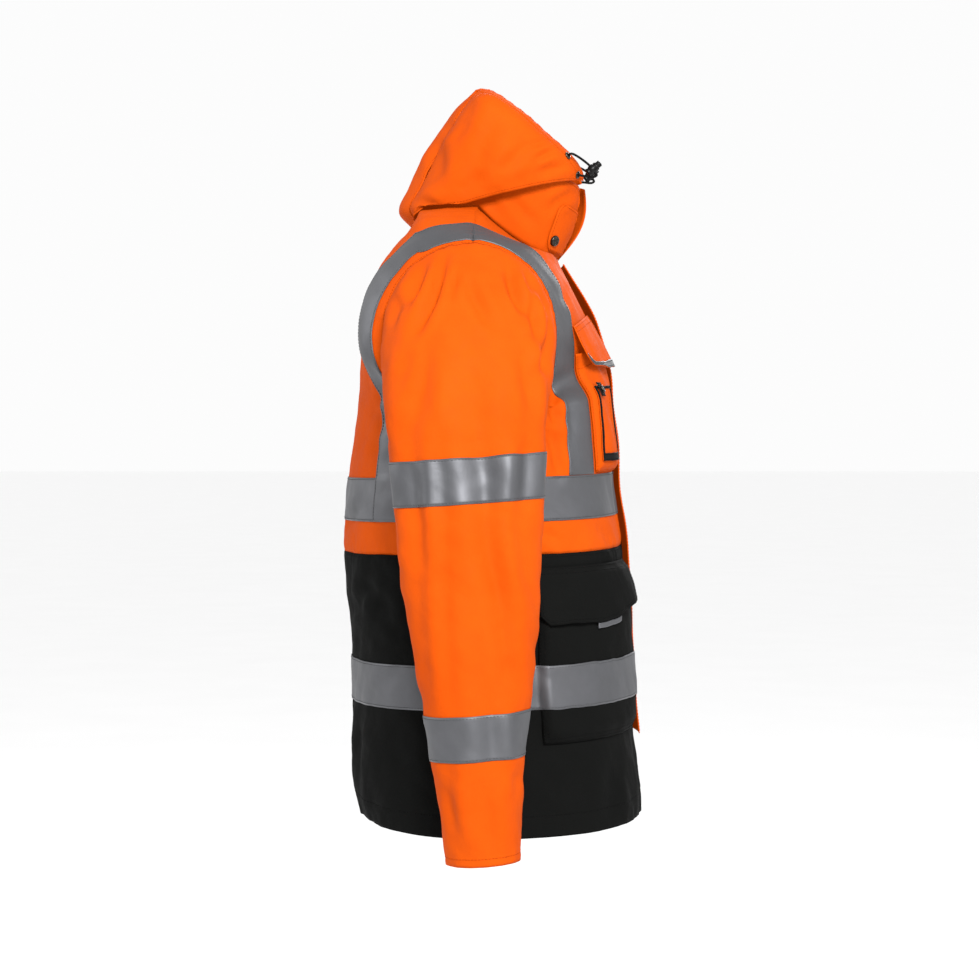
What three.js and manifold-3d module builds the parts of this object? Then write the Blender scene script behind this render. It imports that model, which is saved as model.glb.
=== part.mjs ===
// Hi-vis work jacket, filled out as worn, with its hood up: sewn cloth panels as thin walls.
// Millimetres. +Z is up, the front faces -Y and the wearer's right side is at -X.
// The origin is between the shoulders, where the wearer's neck and shoulders carry the jacket.
import * as THREE from 'three';
import Module from 'manifold-3d';
import { mergeVertices } from 'three/addons/utils/BufferGeometryUtils.js';

// Cloth, tape and seam sizes
const CLOTH = 1.8;
const SEAM_GAP = 0.3;
const TAPE_WIDTH = 50;
const TAPE_THICK = 0.8;
const TAPE_LIFT = 0.3;
const SEAM_BEVEL = 1.1;

// Heights of the body's rows
const HEM_Z = -696;
const WAIST_SEAM_Z = -379;
const ARMPIT_Z = -215;
const CHEST_TAPE_TOP = -292;
const LOWER_TAPE_TOP = -503;
const FRONT_NECK_Z = -38;
const BACK_NECK_Z = 20;
const SIDE_Y = 8;
const ZIP_HALF = 5;

// Body sections: distance of the centre front and centre back from the origin's plane, and half width
const BODY = [
  { z: -696, front: 187, back: 150, half: 236 },
  { z: -665, front: 185, back: 157, half: 234 },
  { z: -607, front: 177, back: 158, half: 232 },
  { z: -521, front: 171, back: 158, half: 229 },
  { z: -463, front: 170, back: 160, half: 228 },
  { z: -420, front: 166, back: 165, half: 227 },
  { z: -377, front: 163, back: 168, half: 226 },
  { z: -319, front: 154, back: 165, half: 223 },
  { z: -262, front: 151, back: 159, half: 219 },
  { z: -215, front: 145, back: 152, half: 215 },
  { z: -175, front: 140, back: 148, half: 215 },
  { z: -118, front: 126, back: 144, half: 215 },
  { z: -89, front: 112, back: 135, half: 215 },
  { z: -60, front: 97, back: 122, half: 215 },
  { z: -38, front: 86, back: 110, half: 215 },
  { z: -17, front: 86, back: 97, half: 215 },
  { z: 0, front: 86, back: 83, half: 215 },
  { z: 20, front: 86, back: 76, half: 215 },
];
// The body's rows tip down towards the back by this slope below the armpit
const ROW_TILT = 0.022;
// At the hem the back's rows rise towards the centre instead
const HEM_TILT = -0.055;
const HEM_SPAN = 80;
const TILT_SPAN = 65;
// Reach of each row's curve at its ends: shares of its depth and half width, or millimetres at the armhole
const ROW_REACH = { side: 0.66, centre: 0.66, overChest: 0.53, frontArm: 60, backArm: 68 };

// Neck opening: side point, where the shoulder seam starts
const NECK = { half: 78, sideY: 8, sideZ: 22, frontRise: 2.6, backRise: 1.6 };
const NECK_SPAN = 60;

// Armhole: an upright oval in a plane that bows inwards at its middle
const ARMHOLE = { x: -203, bow: 12, y: 14, z: -122, front: 90, back: 98, high: 92 };

// Braces: distance of the outer edge from the centre line, measured over the cloth
const BRACE_INSET = 6;
const BRACE_FRONT = [
  { z: -379, outer: 208 },
  { z: -292, outer: 208 },
  { z: -180, outer: 210 },
  { z: 40, outer: 212 },
];
const BRACE_BACK = [
  { z: -379, outer: 226 },
  { z: -292, outer: 222 },
  { z: -180, outer: 214 },
  { z: 80, outer: 212 },
];

// Sleeve sections under the cap
const SLEEVE = [
  { z: -711, back: 42, front: 40, inner: 252, outer: 340 },
  { z: -643, back: 51, front: 42, inner: 251, outer: 345 },
  { z: -588, back: 60, front: 45, inner: 248, outer: 347 },
  { z: -534, back: 69, front: 51, inner: 244, outer: 349 },
  { z: -479, back: 78, front: 57, inner: 241, outer: 351 },
  { z: -424, back: 88, front: 61, inner: 239, outer: 352 },
  { z: -370, back: 95, front: 63, inner: 237, outer: 352 },
  { z: -304, back: 100, front: 66, inner: 233, outer: 349 },
  { z: -250, back: 107, front: 66, inner: 226, outer: 342 },
];
const SLEEVE_TILT = 0.07;
const SLEEVE_MIDDLE_Y = 15;
const SLEEVE_GIRTH_RADIUS = 78;
const SLEEVE_SQUARENESS = 0.94;
const CUFF_Z = -711;
const UPPER_BAND_TOP = -268;
const SLEEVE_BAND_TOP = -546;
const CAP_STEPS = [0, 0.12, 0.28, 0.46, 0.64, 0.82];
// The cap leaves the seam in one direction at the armpit and another at the shoulder,
// where it reaches further
const CAP = { lowX: -0.3, topX: -0.84, lowZ: -1, topZ: -0.54, forward: 0.25, lowReach: 26, topReach: 230 };

// Largest folds: troughs or ridges pressed into a sheet, from one place to another
const SLEEVE_FOLDS = [
  { fromAngle: 150, fromZ: -70, toAngle: 120, toZ: -160, width: 26, depth: -4 },
  { fromAngle: 215, fromZ: -60, toAngle: 240, toZ: -170, width: 24, depth: -4 },
  { fromAngle: 190, fromZ: -330, toAngle: 175, toZ: -440, width: 34, depth: -5 },
  { fromAngle: 130, fromZ: -330, toAngle: 140, toZ: -400, width: 26, depth: -3.5 },
  { fromAngle: 200, fromZ: -450, toAngle: 150, toZ: -560, width: 30, depth: -5 },
  { fromAngle: 250, fromZ: -420, toAngle: 235, toZ: -640, width: 34, depth: -4 },
  { fromAngle: 30, fromZ: -430, toAngle: 60, toZ: -500, width: 28, depth: -4 },
  { fromAngle: 300, fromZ: -470, toAngle: 330, toZ: -420, width: 28, depth: -4 },
  { fromAngle: 175, fromZ: -620, toAngle: 170, toZ: -690, width: 26, depth: 3.5 },
];
const BODY_FOLDS = [
  { across: 255, fromZ: -230, acrossTo: 235, toZ: -285, width: 26, depth: -4 },
  { across: 262, fromZ: -360, acrossTo: 280, toZ: -460, width: 30, depth: -4 },
  { across: 110, fromZ: -600, acrossTo: 95, toZ: -690, width: 34, depth: 4 },
  { across: 215, fromZ: -600, acrossTo: 230, toZ: -690, width: 34, depth: -4 },
];
const BACK_FOLDS = [
  { across: 150, fromZ: -225, acrossTo: 205, toZ: -300, width: 28, depth: -5 },
  { across: 60, fromZ: -60, acrossTo: 120, toZ: -140, width: 34, depth: -4 },
  { across: 240, fromZ: -400, acrossTo: 215, toZ: -470, width: 30, depth: -5 },
  { across: 150, fromZ: -430, acrossTo: 225, toZ: -490, width: 28, depth: 4 },
  { across: 75, fromZ: -590, acrossTo: 60, toZ: -690, width: 36, depth: 4 },
  { across: 185, fromZ: -600, acrossTo: 200, toZ: -690, width: 36, depth: -4 },
];

// Chest pocket on the right front: distances from the centre line, and heights
const CHEST_POCKET = { near: 45, far: 155, top: -134, bottom: -280, proud: 7, mouth: 4 };
const CHEST_FLAP = { top: -112, bottom: -166 };
const HOLDER = {
  near: 55, middle: 98, far: 141, top: -190, lowRow: -242, bottom: -270, bind: 6, base: 9, thick: 1.2,
};
const HOLDER_TAB = { fromColumn: 4.5, toColumn: 4.82, above: 0.15, below: 2.2, thick: 1.4 };
const HOLDER_SNAP = { radius: 4.5, high: 2.2, row: 0.45, column: 0.5 };
const CHEST_FLAP_ROWS = [
  { z: -166, off: 17 },
  { z: -154, off: 14.5 },
  { z: -134, off: 9.6 },
  { z: -112, off: 2.4 },
];

// Lower patch pockets
const LOWER_POCKET = { near: 64, far: 262, top: -404, bottom: -592, proud: 8, mouth: 5, step: 10 };
const LOWER_FLAP = { top: -394, bottom: -463, proud: 14 };
const LOWER_FLAP_ROWS = [
  { z: -463, near: -448, far: -448, off: 14, nearOff: 17 },
  { z: -440, near: -430, off: 14, nearOff: 15 },
  { z: -404, off: 9.6 },
  { z: -394, off: 2.4 },
];
const LABEL = { near: 150, far: 196, high: 7 };

// Storm flap over the front zip
const STORM_FLAP = {
  half: 35, bottom: -605, top: -46, proud: 8, seam: 1.9, neck: 0.6, easeFrom: -110, easeSpan: 60,
};

// Collar: its top edge, from front to back, and its ends at the front
const COLLAR = {
  frontY: -114, frontZ: 48, half: 84, sideY: 0, sideZ: 82, backY: 54, backZ: 94, bulge: 6, rise: 1.3,
};
const COLLAR_END = { right: 5, left: 8, leftForward: 6, leftBulge: 7 };
// The tab starts this far up the collar's first row of its grid
const COLLAR_TAB_FOOT = 0.2;
const SNAP = { radius: 6.5, high: 3.4, row: 0.75, column: 1.35 };

// Hood rows from the nape and chin up to the crown: silhouette behind, face edge in front, half widths
const HOOD = [
  { step: 0, backY: 88, backZ: 1, edgeY: -117, edgeZ: 56, edgeHalf: 20, wide: 98, inset: 10 },
  { step: 0.12, backY: 103, backZ: 20, edgeY: -114, edgeZ: 69, edgeHalf: 30, wide: 102, inset: 15 },
  { step: 0.3, backY: 92, backZ: 48, edgeY: -99, edgeZ: 88, edgeHalf: 44, wide: 105, inset: 19 },
  { step: 0.5, backY: 74, backZ: 88, edgeY: -73, edgeZ: 111, edgeHalf: 54, wide: 102, inset: 19 },
  { step: 0.7, backY: 55, backZ: 115, edgeY: -48, edgeZ: 133, edgeHalf: 58, wide: 94, inset: 16 },
  { step: 0.86, backY: 34, backZ: 144, edgeY: -21, edgeZ: 152, edgeHalf: 54, wide: 78, inset: 12 },
  { step: 1, backY: 14, backZ: 161, edgeY: -6, edgeZ: 162, edgeHalf: 41, wide: 42.5, inset: 4 },
];
const HOOD_SEAM_HALF = 40;
const CROWN = [
  { y: 5, z: 167, seamZ: 161.6 },
  { y: -6, z: 165, seamZ: 162 },
];
const HOOD_BOTTOM_RISE = 5;
const HOOD_CLEAR = 0.4;
const HOOD_SIDE_CLEAR = 3;

// Drawcord of the hood
const CORD = { radius: 1.4, sides: 8, steps: 22, start: 0.9, out: 5 };
const EYELET = { outer: 4.6, inner: 2.2, thick: 1.2, lift: 0.8 };
// The eyelets' rows and column on the hood's side panel
const EYELET_SPOTS = { column: 7.5, upperRow: 2.5, lowerRow: 0.6 };
const LOCK = { radius: 5.2, bore: 1.8, below: 8, above: 7, plunger: 4, plungerEnd: 12 };
const LOCK_PLACE = { x: -42, y: -127, z: 68 };
const LOCK_AXIS = new THREE.Vector3(0, -0.77, 0.64);
const BORE_WAY = new THREE.Vector3(0, -0.64, -0.77);
// The cord's loop below the lock, from its bore back to the lower eyelet
const CORD_LOOP = [
  { x: -42, y: -132.5, z: 58 },
  { x: -41.5, y: -130, z: 54 },
  { x: -40.5, y: -125, z: 52.5 },
  { x: -40, y: -120, z: 54 },
  { x: -39.4, y: -116, z: 57 },
];

// Finishes
const FINISH = {
  orange: { color: 0xff6208, roughness: 0.75, metalness: 0 },
  black: { color: 0x1a1b1a, roughness: 0.85, metalness: 0 },
  tape: { color: 0x8f9397, roughness: 0.45, metalness: 0.25 },
  trim: { color: 0x141414, roughness: 0.5, metalness: 0 },
  metal: { color: 0x39352f, roughness: 0.4, metalness: 0.7 },
};

const jacket = new THREE.Group();

// Adds a closed geometry to the jacket as a named piece.
function addPiece(name, geometry, finish) {
  const mesh = new THREE.Mesh(geometry, new THREE.MeshStandardMaterial(FINISH[finish]));
  mesh.name = name;
  jacket.add(mesh);
  return mesh;
}

const vec = (x, y, z) => new THREE.Vector3(x, y, z);
const mix = (a, b, t) => a + (b - a) * t;
const clamp01 = (t) => Math.min(1, Math.max(0, t));
const smooth = (t) => clamp01(t) ** 2 * (3 - 2 * clamp01(t));
const blend = (a, b, t) => a.clone().lerp(b, t);

// Reads a named column of a table at a value of its key, on a smooth curve through the rows.
function read(table, key, column, at) {
  const last = table.length - 1;
  const value = Math.min(table[last][key], Math.max(table[0][key], at));
  let i = 0;
  while (i < last - 1 && table[i + 1][key] < value) i += 1;
  const slope = (k) => {
    const low = table[Math.max(0, k - 1)];
    const high = table[Math.min(last, k + 1)];
    return (high[column] - low[column]) / (high[key] - low[key]);
  };
  const a = table[i];
  const b = table[i + 1];
  const span = b[key] - a[key];
  const t = (value - a[key]) / span;
  const turn = (t - 1) ** 2 * t * slope(i) * span + t * t * (t - 1) * slope(i + 1) * span;
  return mix(a[column], b[column], t * t * (3 - 2 * t)) + turn;
}

// Point of the armhole seam, from the armpit at 0 over the front to the shoulder at PI.
function armhole(turn, side) {
  const z = ARMHOLE.z - ARMHOLE.high * Math.cos(turn);
  const deep = side === 'front' ? -ARMHOLE.front : ARMHOLE.back;
  const bow = ARMHOLE.bow * ((z - ARMHOLE.z) / ARMHOLE.high) ** 2;
  return vec(ARMHOLE.x - bow, ARMHOLE.y + deep * Math.sin(turn), z);
}

// Point of the neck seam, from the centre at 0 to the side at 1.
function neckline(turn, side) {
  const angle = (turn * Math.PI) / 2;
  const front = side === 'front';
  const centreZ = front ? FRONT_NECK_Z : BACK_NECK_Z;
  const centreY = (front ? -1 : 1) * read(BODY, 'z', side, centreZ);
  const power = front ? NECK.frontRise : NECK.backRise;
  return vec(
    -NECK.half * Math.sin(angle),
    NECK.sideY + (centreY - NECK.sideY) * Math.cos(angle),
    mix(centreZ, NECK.sideZ, turn ** power),
  );
}

const neckTop = { front: FRONT_NECK_Z, back: BACK_NECK_Z };
const rowTop = { front: FRONT_NECK_Z + NECK_SPAN, back: BACK_NECK_Z + NECK_SPAN };
// The shoulder seam leaves the neck nearly level and dips at the shoulder
const neckWay = vec(-1, 0.04, -0.2).normalize();
const shoulderWay = vec(-1, 0.04, -0.62).normalize();

// How far up the armhole a row ends: 0 at the armpit, 1 at the shoulder.
const armShare = (row, side) => clamp01((row - ARMPIT_Z) / (rowTop[side] - ARMPIT_Z));

// One row of the body's right half as a curve from the centre line or neck to the side or armhole.
function bodyRow(row, side) {
  const sign = side === 'front' ? -1 : 1;
  const share = armShare(row, side);
  const neckTurn = clamp01((row - neckTop[side]) / NECK_SPAN);
  const z = Math.min(row, neckTop[side]);
  const lowest = side === 'back' ? mix(HEM_TILT, ROW_TILT, smooth((row - HEM_Z) / HEM_SPAN)) : ROW_TILT;
  const tilt = lowest * clamp01((ARMPIT_Z + TILT_SPAN - row) / TILT_SPAN);
  const centre = sign * read(BODY, 'z', side, z);
  const half = read(BODY, 'z', 'half', z);
  const start = neckTurn > 0 ? neckline(neckTurn, side) : vec(0, centre, z - tilt * centre);
  const end = share > 0 ? armhole(Math.PI * share, side) : vec(-half, SIDE_Y, z - tilt * SIDE_Y);
  const across = end.distanceTo(start);
  const leaving = smooth(share / 0.28);
  const shoulder = smooth((share - 0.3) / 0.7);
  const armWay = side === 'front' ? vec(-0.9, 0.42, 0) : vec(-0.45, -0.88, 0);
  const sideWay = vec(0, -sign, 0);
  const endWay = blend(blend(sideWay, armWay, leaving).normalize(), shoulderWay, shoulder).normalize();
  const startWay = blend(vec(-1, 0, 0), neckWay, smooth(neckTurn)).normalize();
  const depth = Math.abs(end.y - start.y);
  const armReach = side === 'front' ? ROW_REACH.frontArm : ROW_REACH.backArm;
  const centreReach = half * mix(ROW_REACH.centre, ROW_REACH.overChest, leaving);
  const endReach = mix(mix(ROW_REACH.side * depth, armReach, leaving), across / 3, shoulder);
  const startReach = mix(centreReach, across / 3, smooth(neckTurn));
  return new THREE.CubicBezierCurve3(
    start,
    start.clone().addScaledVector(startWay, startReach),
    end.clone().addScaledVector(endWay, -endReach),
    end,
  );
}

const rowCache = new Map();

// The row's curve and its length, worked out once for each row.
function rowOf(row, side) {
  const key = `${side} ${row}`;
  if (!rowCache.has(key)) {
    const curve = bodyRow(row, side);
    curve.arcLengthDivisions = 120;
    rowCache.set(key, { curve, length: curve.getLength() });
  }
  return rowCache.get(key);
}

// Point of the body at a distance from the start of its row, measured over the cloth.
function bodyPoint(distance, row, side) {
  const { curve, length } = rowOf(row, side);
  return curve.getPointAt(clamp01(distance / length));
}

// Outward normal of the body at a distance and row, from points close by.
function bodyNormal(distance, row, side) {
  const step = 2;
  const across = bodyPoint(distance + step, row, side).sub(bodyPoint(distance - step, row, side));
  const up = bodyPoint(distance, row + step, side).sub(bodyPoint(distance, row - step, side));
  const normal = across.cross(up).normalize();
  return normal.dot(bodyPoint(distance, row, side).setZ(0)) < 0 ? normal.negate() : normal;
}

// Distances over the cloth of the brace's edges on a row.
function braceEdges(row, side) {
  const table = side === 'front' ? BRACE_FRONT : BRACE_BACK;
  const { length } = rowOf(row, side);
  const outer = Math.min(length - BRACE_INSET, read(table, 'z', 'outer', row));
  return { inner: outer - TAPE_WIDTH, outer };
}

// How far a fold moves a point: full in the fold's line, dying away over its width and past its ends.
function foldDepth(fold, x, y, x0, y0, x1, y1) {
  const dx = x1 - x0;
  const dy = y1 - y0;
  const t = clamp01(((x - x0) * dx + (y - y0) * dy) / (dx * dx + dy * dy));
  const away = Math.hypot(x - x0 - t * dx, y - y0 - t * dy);
  return fold.depth * Math.exp(-((away / fold.width) ** 2)) * (0.6 + 0.4 * Math.sin(Math.PI * t));
}

const bodyFolds = (folds) => (distance, row) => folds.reduce(
  (sum, f) => sum + foldDepth(f, distance, row, f.across, f.fromZ, f.acrossTo, f.toZ),
  0,
);

// A sheet is a grid of points with outward normals. Rows come first, then columns.
// `at` gives a point, `inside` is a point on the inner side, `press` moves points along the normals.
function makeSheet(rowCount, columnCount, at, inside, { closed = false, press = null } = {}) {
  const points = [];
  for (let i = 0; i < rowCount; i += 1) {
    points.push(Array.from({ length: columnCount }, (_, j) => at(i, j)));
  }
  const sheet = { points, closed };
  sheet.normals = sheetNormals(sheet);
  const middle = points[rowCount >> 1][columnCount >> 1];
  const out = sheet.normals[rowCount >> 1][columnCount >> 1].dot(middle.clone().sub(inside)) < 0 ? -1 : 1;
  if (press) {
    sheet.normals.forEach((line, i) => line.forEach((n, j) => {
      points[i][j].addScaledVector(n, out * press(i, j));
    }));
    sheet.normals = sheetNormals(sheet);
  }
  sheet.normals.forEach((line) => line.forEach((n) => n.multiplyScalar(out)));
  sheet.turned = out < 0;
  return sheet;
}

// Normals of a grid from the points on either side of each point.
function sheetNormals({ points, closed }) {
  const rows = points.length;
  const columns = points[0].length;
  return points.map((line, i) => line.map((_, j) => {
    const before = closed ? (j + columns - 1) % columns : Math.max(0, j - 1);
    const after = closed ? (j + 1) % columns : Math.min(columns - 1, j + 1);
    const along = line[after].clone().sub(line[before]);
    const up = points[Math.min(rows - 1, i + 1)][j].clone().sub(points[Math.max(0, i - 1)][j]);
    return along.cross(up).normalize();
  }));
}

// The same sheet on the other side of the body.
function mirrored(sheet) {
  const flip = (v) => vec(-v.x, v.y, v.z);
  return {
    points: sheet.points.map((line) => line.map(flip)),
    normals: sheet.normals.map((line) => line.map(flip)),
    closed: sheet.closed,
    turned: !sheet.turned,
  };
}

// Two half sheets become one across the body. Their first columns are one and the same up to a row,
// and above it they part on the two sides of a notch.
function joined(right, row = right.points.length - 1) {
  right.normals.slice(0, row + 1).forEach((line) => line[0].setX(0).normalize());
  const left = mirrored(right);
  const across = (a, b) => a.map((line, i) => [...line.slice().reverse(), ...b[i]]);
  return {
    points: across(left.points, right.points),
    normals: across(left.normals, right.normals),
    closed: false,
    turned: right.turned,
    middle: { row, column: right.points[0].length - 1 },
  };
}

// On a joined sheet: -1 on the last column before the middle, 1 on the first after it, 0 elsewhere.
function middleSide({ middle }, column) {
  if (!middle || column < middle.column || column > middle.column + 1) return 0;
  return column === middle.column ? -1 : 1;
}

// A closed wall over part of a sheet. `lift` is the height of its inner face over the sheet,
// a number or a function of row and column, and `bevel` draws the inner face in at open edges.
function wall(sheet, { rows, columns, lift = 0, thick = CLOTH, bevel = 0 } = {}) {
  const [r0, r1] = rows ?? [0, sheet.points.length - 1];
  const [c0, c1] = columns ?? [0, sheet.points[0].length - 1];
  const high = typeof lift === 'function' ? lift : () => lift;
  const width = c1 - c0 + 1;
  const count = (r1 - r0 + 1) * width;
  const ring = sheet.closed ? width : width - 1;
  const position = new Float32Array(count * 6);
  for (let i = r0; i <= r1; i += 1) {
    for (let j = c0; j <= c1; j += 1) {
      const at = (i - r0) * width + (j - c0);
      const point = sheet.points[i][j];
      const normal = sheet.normals[i][j];
      const low = point.clone().addScaledVector(normal, high(i, j));
      const top = low.clone().addScaledVector(normal, thick);
      const inward = vec(0, 0, 0);
      const drawTo = (k, l) => inward.add(sheet.points[k][l].clone().sub(point).normalize());
      const side = middleSide(sheet, j);
      if (i === r0) drawTo(i + 1, j);
      if (i === r1) drawTo(i - 1, j);
      if (!sheet.closed && j === c0) drawTo(i, j + 1);
      if (!sheet.closed && j === c1) drawTo(i, j - 1);
      if (side && i > sheet.middle.row) drawTo(i, j + side);
      if (side && i === sheet.middle.row && i < r1) drawTo(i - 1, j);
      low.addScaledVector(inward, bevel);
      top.toArray(position, at * 3);
      low.toArray(position, (count + at) * 3);
    }
  }
  const index = [];
  const quad = (a, b, c, d) => {
    if (sheet.turned) index.push(a, c, b, a, d, c);
    else index.push(a, b, c, a, c, d);
  };
  const shared = (i, j) => middleSide(sheet, c0 + j) > 0 && r0 + i <= sheet.middle.row;
  const id = (i, j) => i * width + (shared(i, j) ? j - 1 : j % width);
  const end = r1 - r0;
  for (let j = 0; j < ring; j += 1) {
    const inMiddle = middleSide(sheet, c0 + j) < 0;
    for (let i = 0; i < end; i += 1) {
      if (!inMiddle) {
        quad(id(i, j), id(i, j + 1), id(i + 1, j + 1), id(i + 1, j));
        quad(count + id(i, j), count + id(i + 1, j), count + id(i + 1, j + 1), count + id(i, j + 1));
      } else if (r0 + i >= sheet.middle.row) {
        quad(id(i + 1, j), id(i, j), count + id(i, j), count + id(i + 1, j));
        quad(id(i, j + 1), id(i + 1, j + 1), count + id(i + 1, j + 1), count + id(i, j + 1));
      }
    }
    if (!inMiddle) {
      quad(id(0, j + 1), id(0, j), count + id(0, j), count + id(0, j + 1));
      quad(id(end, j), id(end, j + 1), count + id(end, j + 1), count + id(end, j));
    }
  }
  if (!sheet.closed) {
    for (let i = 0; i < end; i += 1) {
      quad(id(i, 0), id(i + 1, 0), count + id(i + 1, 0), count + id(i, 0));
      quad(id(i + 1, width - 1), id(i, width - 1), count + id(i, width - 1), count + id(i + 1, width - 1));
    }
  }
  const geometry = new THREE.BufferGeometry();
  geometry.setAttribute('position', new THREE.BufferAttribute(position, 3));
  geometry.setIndex(index);
  return geometry;
}

// A panel's own wall: its outer face is the sheet itself.
const panel = (sheet, options = {}) => wall(sheet, { lift: -CLOTH, bevel: SEAM_BEVEL, ...options });

// A strip of tape on a sheet.
const tape = (sheet, options = {}) => wall(sheet, { lift: TAPE_LIFT, thick: TAPE_THICK, ...options });

// Rows and columns of the front and back sheets
const HALF_GAP = SEAM_GAP / 2;
const neckTurns = { front: [0, 0.16, 0.4, 0.7, 1], back: [0, 0.2, 0.45, 0.72, 1] };
const frontUpperRows = [
  WAIST_SEAM_Z + HALF_GAP, CHEST_TAPE_TOP - TAPE_WIDTH, CHEST_TAPE_TOP, CHEST_POCKET.bottom, HOLDER.bottom,
  HOLDER.lowRow, ARMPIT_Z, HOLDER.top, CHEST_FLAP.bottom, CHEST_POCKET.top, CHEST_FLAP.top, -88, -62,
  ...neckTurns.front.map((turn) => FRONT_NECK_Z + turn * NECK_SPAN),
];
const backUpperRows = [
  WAIST_SEAM_Z + HALF_GAP, CHEST_TAPE_TOP - TAPE_WIDTH, CHEST_TAPE_TOP, -272,
  -242, ARMPIT_Z, -188, -160, -132, -104, -76, -48, -24, 0,
  ...neckTurns.back.map((turn) => BACK_NECK_Z + turn * NECK_SPAN),
];
const lowerRows = [
  HEM_Z, -648, STORM_FLAP.bottom, LOWER_POCKET.bottom, -572, LOWER_TAPE_TOP - TAPE_WIDTH, LOWER_TAPE_TOP,
  LOWER_FLAP.bottom, -438, LOWER_POCKET.top, LOWER_FLAP.top, WAIST_SEAM_Z - HALF_GAP,
];

const chestColumns = [
  ZIP_HALF + SEAM_GAP, STORM_FLAP.half, CHEST_POCKET.near, HOLDER.near, HOLDER.middle, HOLDER.far,
  CHEST_POCKET.far,
];
const frontBraceAt = 7;
const CHEST_SCALE = 160;

// Distance over the cloth of a column of the front's upper sheet on a row.
function frontColumn(column, row) {
  const { inner, outer } = braceEdges(row, 'front');
  const { length } = rowOf(row, 'front');
  const side = length - HALF_GAP;
  if (column === 0 && row > FRONT_NECK_Z) return HALF_GAP;
  if (column < chestColumns.length) return chestColumns[column] * Math.min(1, inner / CHEST_SCALE);
  return [inner, mix(inner, outer, 0.5), outer, mix(outer, side, 0.5), side][column - chestColumns.length];
}

const backBraceAt = 4;

// Distance over the cloth of a column of the back's upper sheet on a row.
function backColumn(column, row) {
  const { inner, outer } = braceEdges(row, 'back');
  const side = rowOf(row, 'back').length - HALF_GAP;
  if (column < backBraceAt) return (inner * column) / backBraceAt;
  return [inner, mix(inner, outer, 0.5), outer, mix(outer, side, 0.5), side][column - backBraceAt];
}

const pocketColumns = [
  ZIP_HALF + SEAM_GAP, STORM_FLAP.half, LOWER_POCKET.near, LOWER_POCKET.near + LOWER_POCKET.step,
  LABEL.near, LABEL.far, LOWER_POCKET.far - LOWER_POCKET.step, LOWER_POCKET.far,
];
const LOWER_SIDE_COLUMNS = 3;

// Distance over the cloth of a column of the front's lower sheet on a row.
function frontLowerColumn(column, row) {
  const side = rowOf(row, 'front').length - HALF_GAP;
  const past = column - (pocketColumns.length - 1);
  return past <= 0 ? pocketColumns[column] : mix(LOWER_POCKET.far, side, past / LOWER_SIDE_COLUMNS);
}

const BACK_LOWER_COLUMNS = 10;
const backLowerColumn = (column, row) => (
  ((rowOf(row, 'back').length - HALF_GAP) * column) / BACK_LOWER_COLUMNS
);

// A sheet of the body from its rows and a rule for its columns.
function bodySheet(rows, columnCount, distanceOf, side, folds) {
  const fold = bodyFolds(folds);
  const distance = (i, j) => distanceOf(j, rows[i]);
  return makeSheet(
    rows.length,
    columnCount,
    (i, j) => bodyPoint(distance(i, j), rows[i], side),
    vec(0, 0, rows[rows.length >> 1]),
    { press: (i, j) => (rows[i] > ARMPIT_Z ? 0 : fold(distance(i, j), rows[i])) },
  );
}

const frontUpper = bodySheet(frontUpperRows, chestColumns.length + 5, frontColumn, 'front', BODY_FOLDS);
const frontLowerCount = pocketColumns.length + LOWER_SIDE_COLUMNS;
const frontLower = bodySheet(lowerRows, frontLowerCount, frontLowerColumn, 'front', BODY_FOLDS);
const backUpper = joined(
  bodySheet(backUpperRows, backBraceAt + 5, backColumn, 'back', BACK_FOLDS),
  backUpperRows.indexOf(BACK_NECK_Z),
);
const backLower = joined(bodySheet(lowerRows, BACK_LOWER_COLUMNS + 1, backLowerColumn, 'back', BACK_FOLDS));

const rowAt = (rows, z) => rows.indexOf(z);
const sides = [
  { name: 'right', of: (sheet) => sheet },
  { name: 'left', of: mirrored },
];

// Body panels
addPiece('back_upper', panel(backUpper), 'orange');
addPiece('back_lower', panel(backLower), 'black');
for (const { name, of } of sides) {
  addPiece(`front_${name}_upper`, panel(of(frontUpper)), 'orange');
  addPiece(`front_${name}_lower`, panel(of(frontLower)), 'black');
}

// Front zip: a flush strip between the two fronts
const zipRows = [
  ...lowerRows.slice(0, -1),
  ...frontUpperRows.slice(1, frontUpperRows.indexOf(FRONT_NECK_Z) + 1),
];
const bodyMiddle = vec(0, 0, -300);
const zipSheet = makeSheet(
  zipRows.length,
  3,
  (i, j) => bodyPoint(Math.abs(j - 1) * ZIP_HALF, zipRows[i], 'front').setX((j - 1) * ZIP_HALF),
  bodyMiddle,
);
addPiece('front_zip', wall(zipSheet, { lift: -CLOTH }), 'trim');

// Storm flap: sewn to the left front, standing off towards its free edge on the right
const flapRows = [
  ...zipRows.filter((z) => z >= STORM_FLAP.bottom && z < STORM_FLAP.top),
  STORM_FLAP.top,
];
const FLAP_COLUMNS = 5;
const flapShare = (j) => j / (FLAP_COLUMNS - 1);
const flapSheet = makeSheet(
  flapRows.length,
  FLAP_COLUMNS,
  (i, j) => {
    const across = mix(-STORM_FLAP.half, STORM_FLAP.half, flapShare(j));
    const point = bodyPoint(Math.abs(across), flapRows[i], 'front');
    return point.setX(Math.sign(across) * Math.abs(point.x));
  },
  bodyMiddle,
);
const flapLift = (i, j) => {
  const nearNeck = smooth((flapRows[i] - STORM_FLAP.easeFrom) / STORM_FLAP.easeSpan);
  const open = mix(1, STORM_FLAP.neck, nearNeck);
  return mix(STORM_FLAP.proud * open, STORM_FLAP.seam, smooth(flapShare(j)));
};
addPiece('storm_flap', wall(flapSheet, { lift: flapLift }), 'orange');

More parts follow.
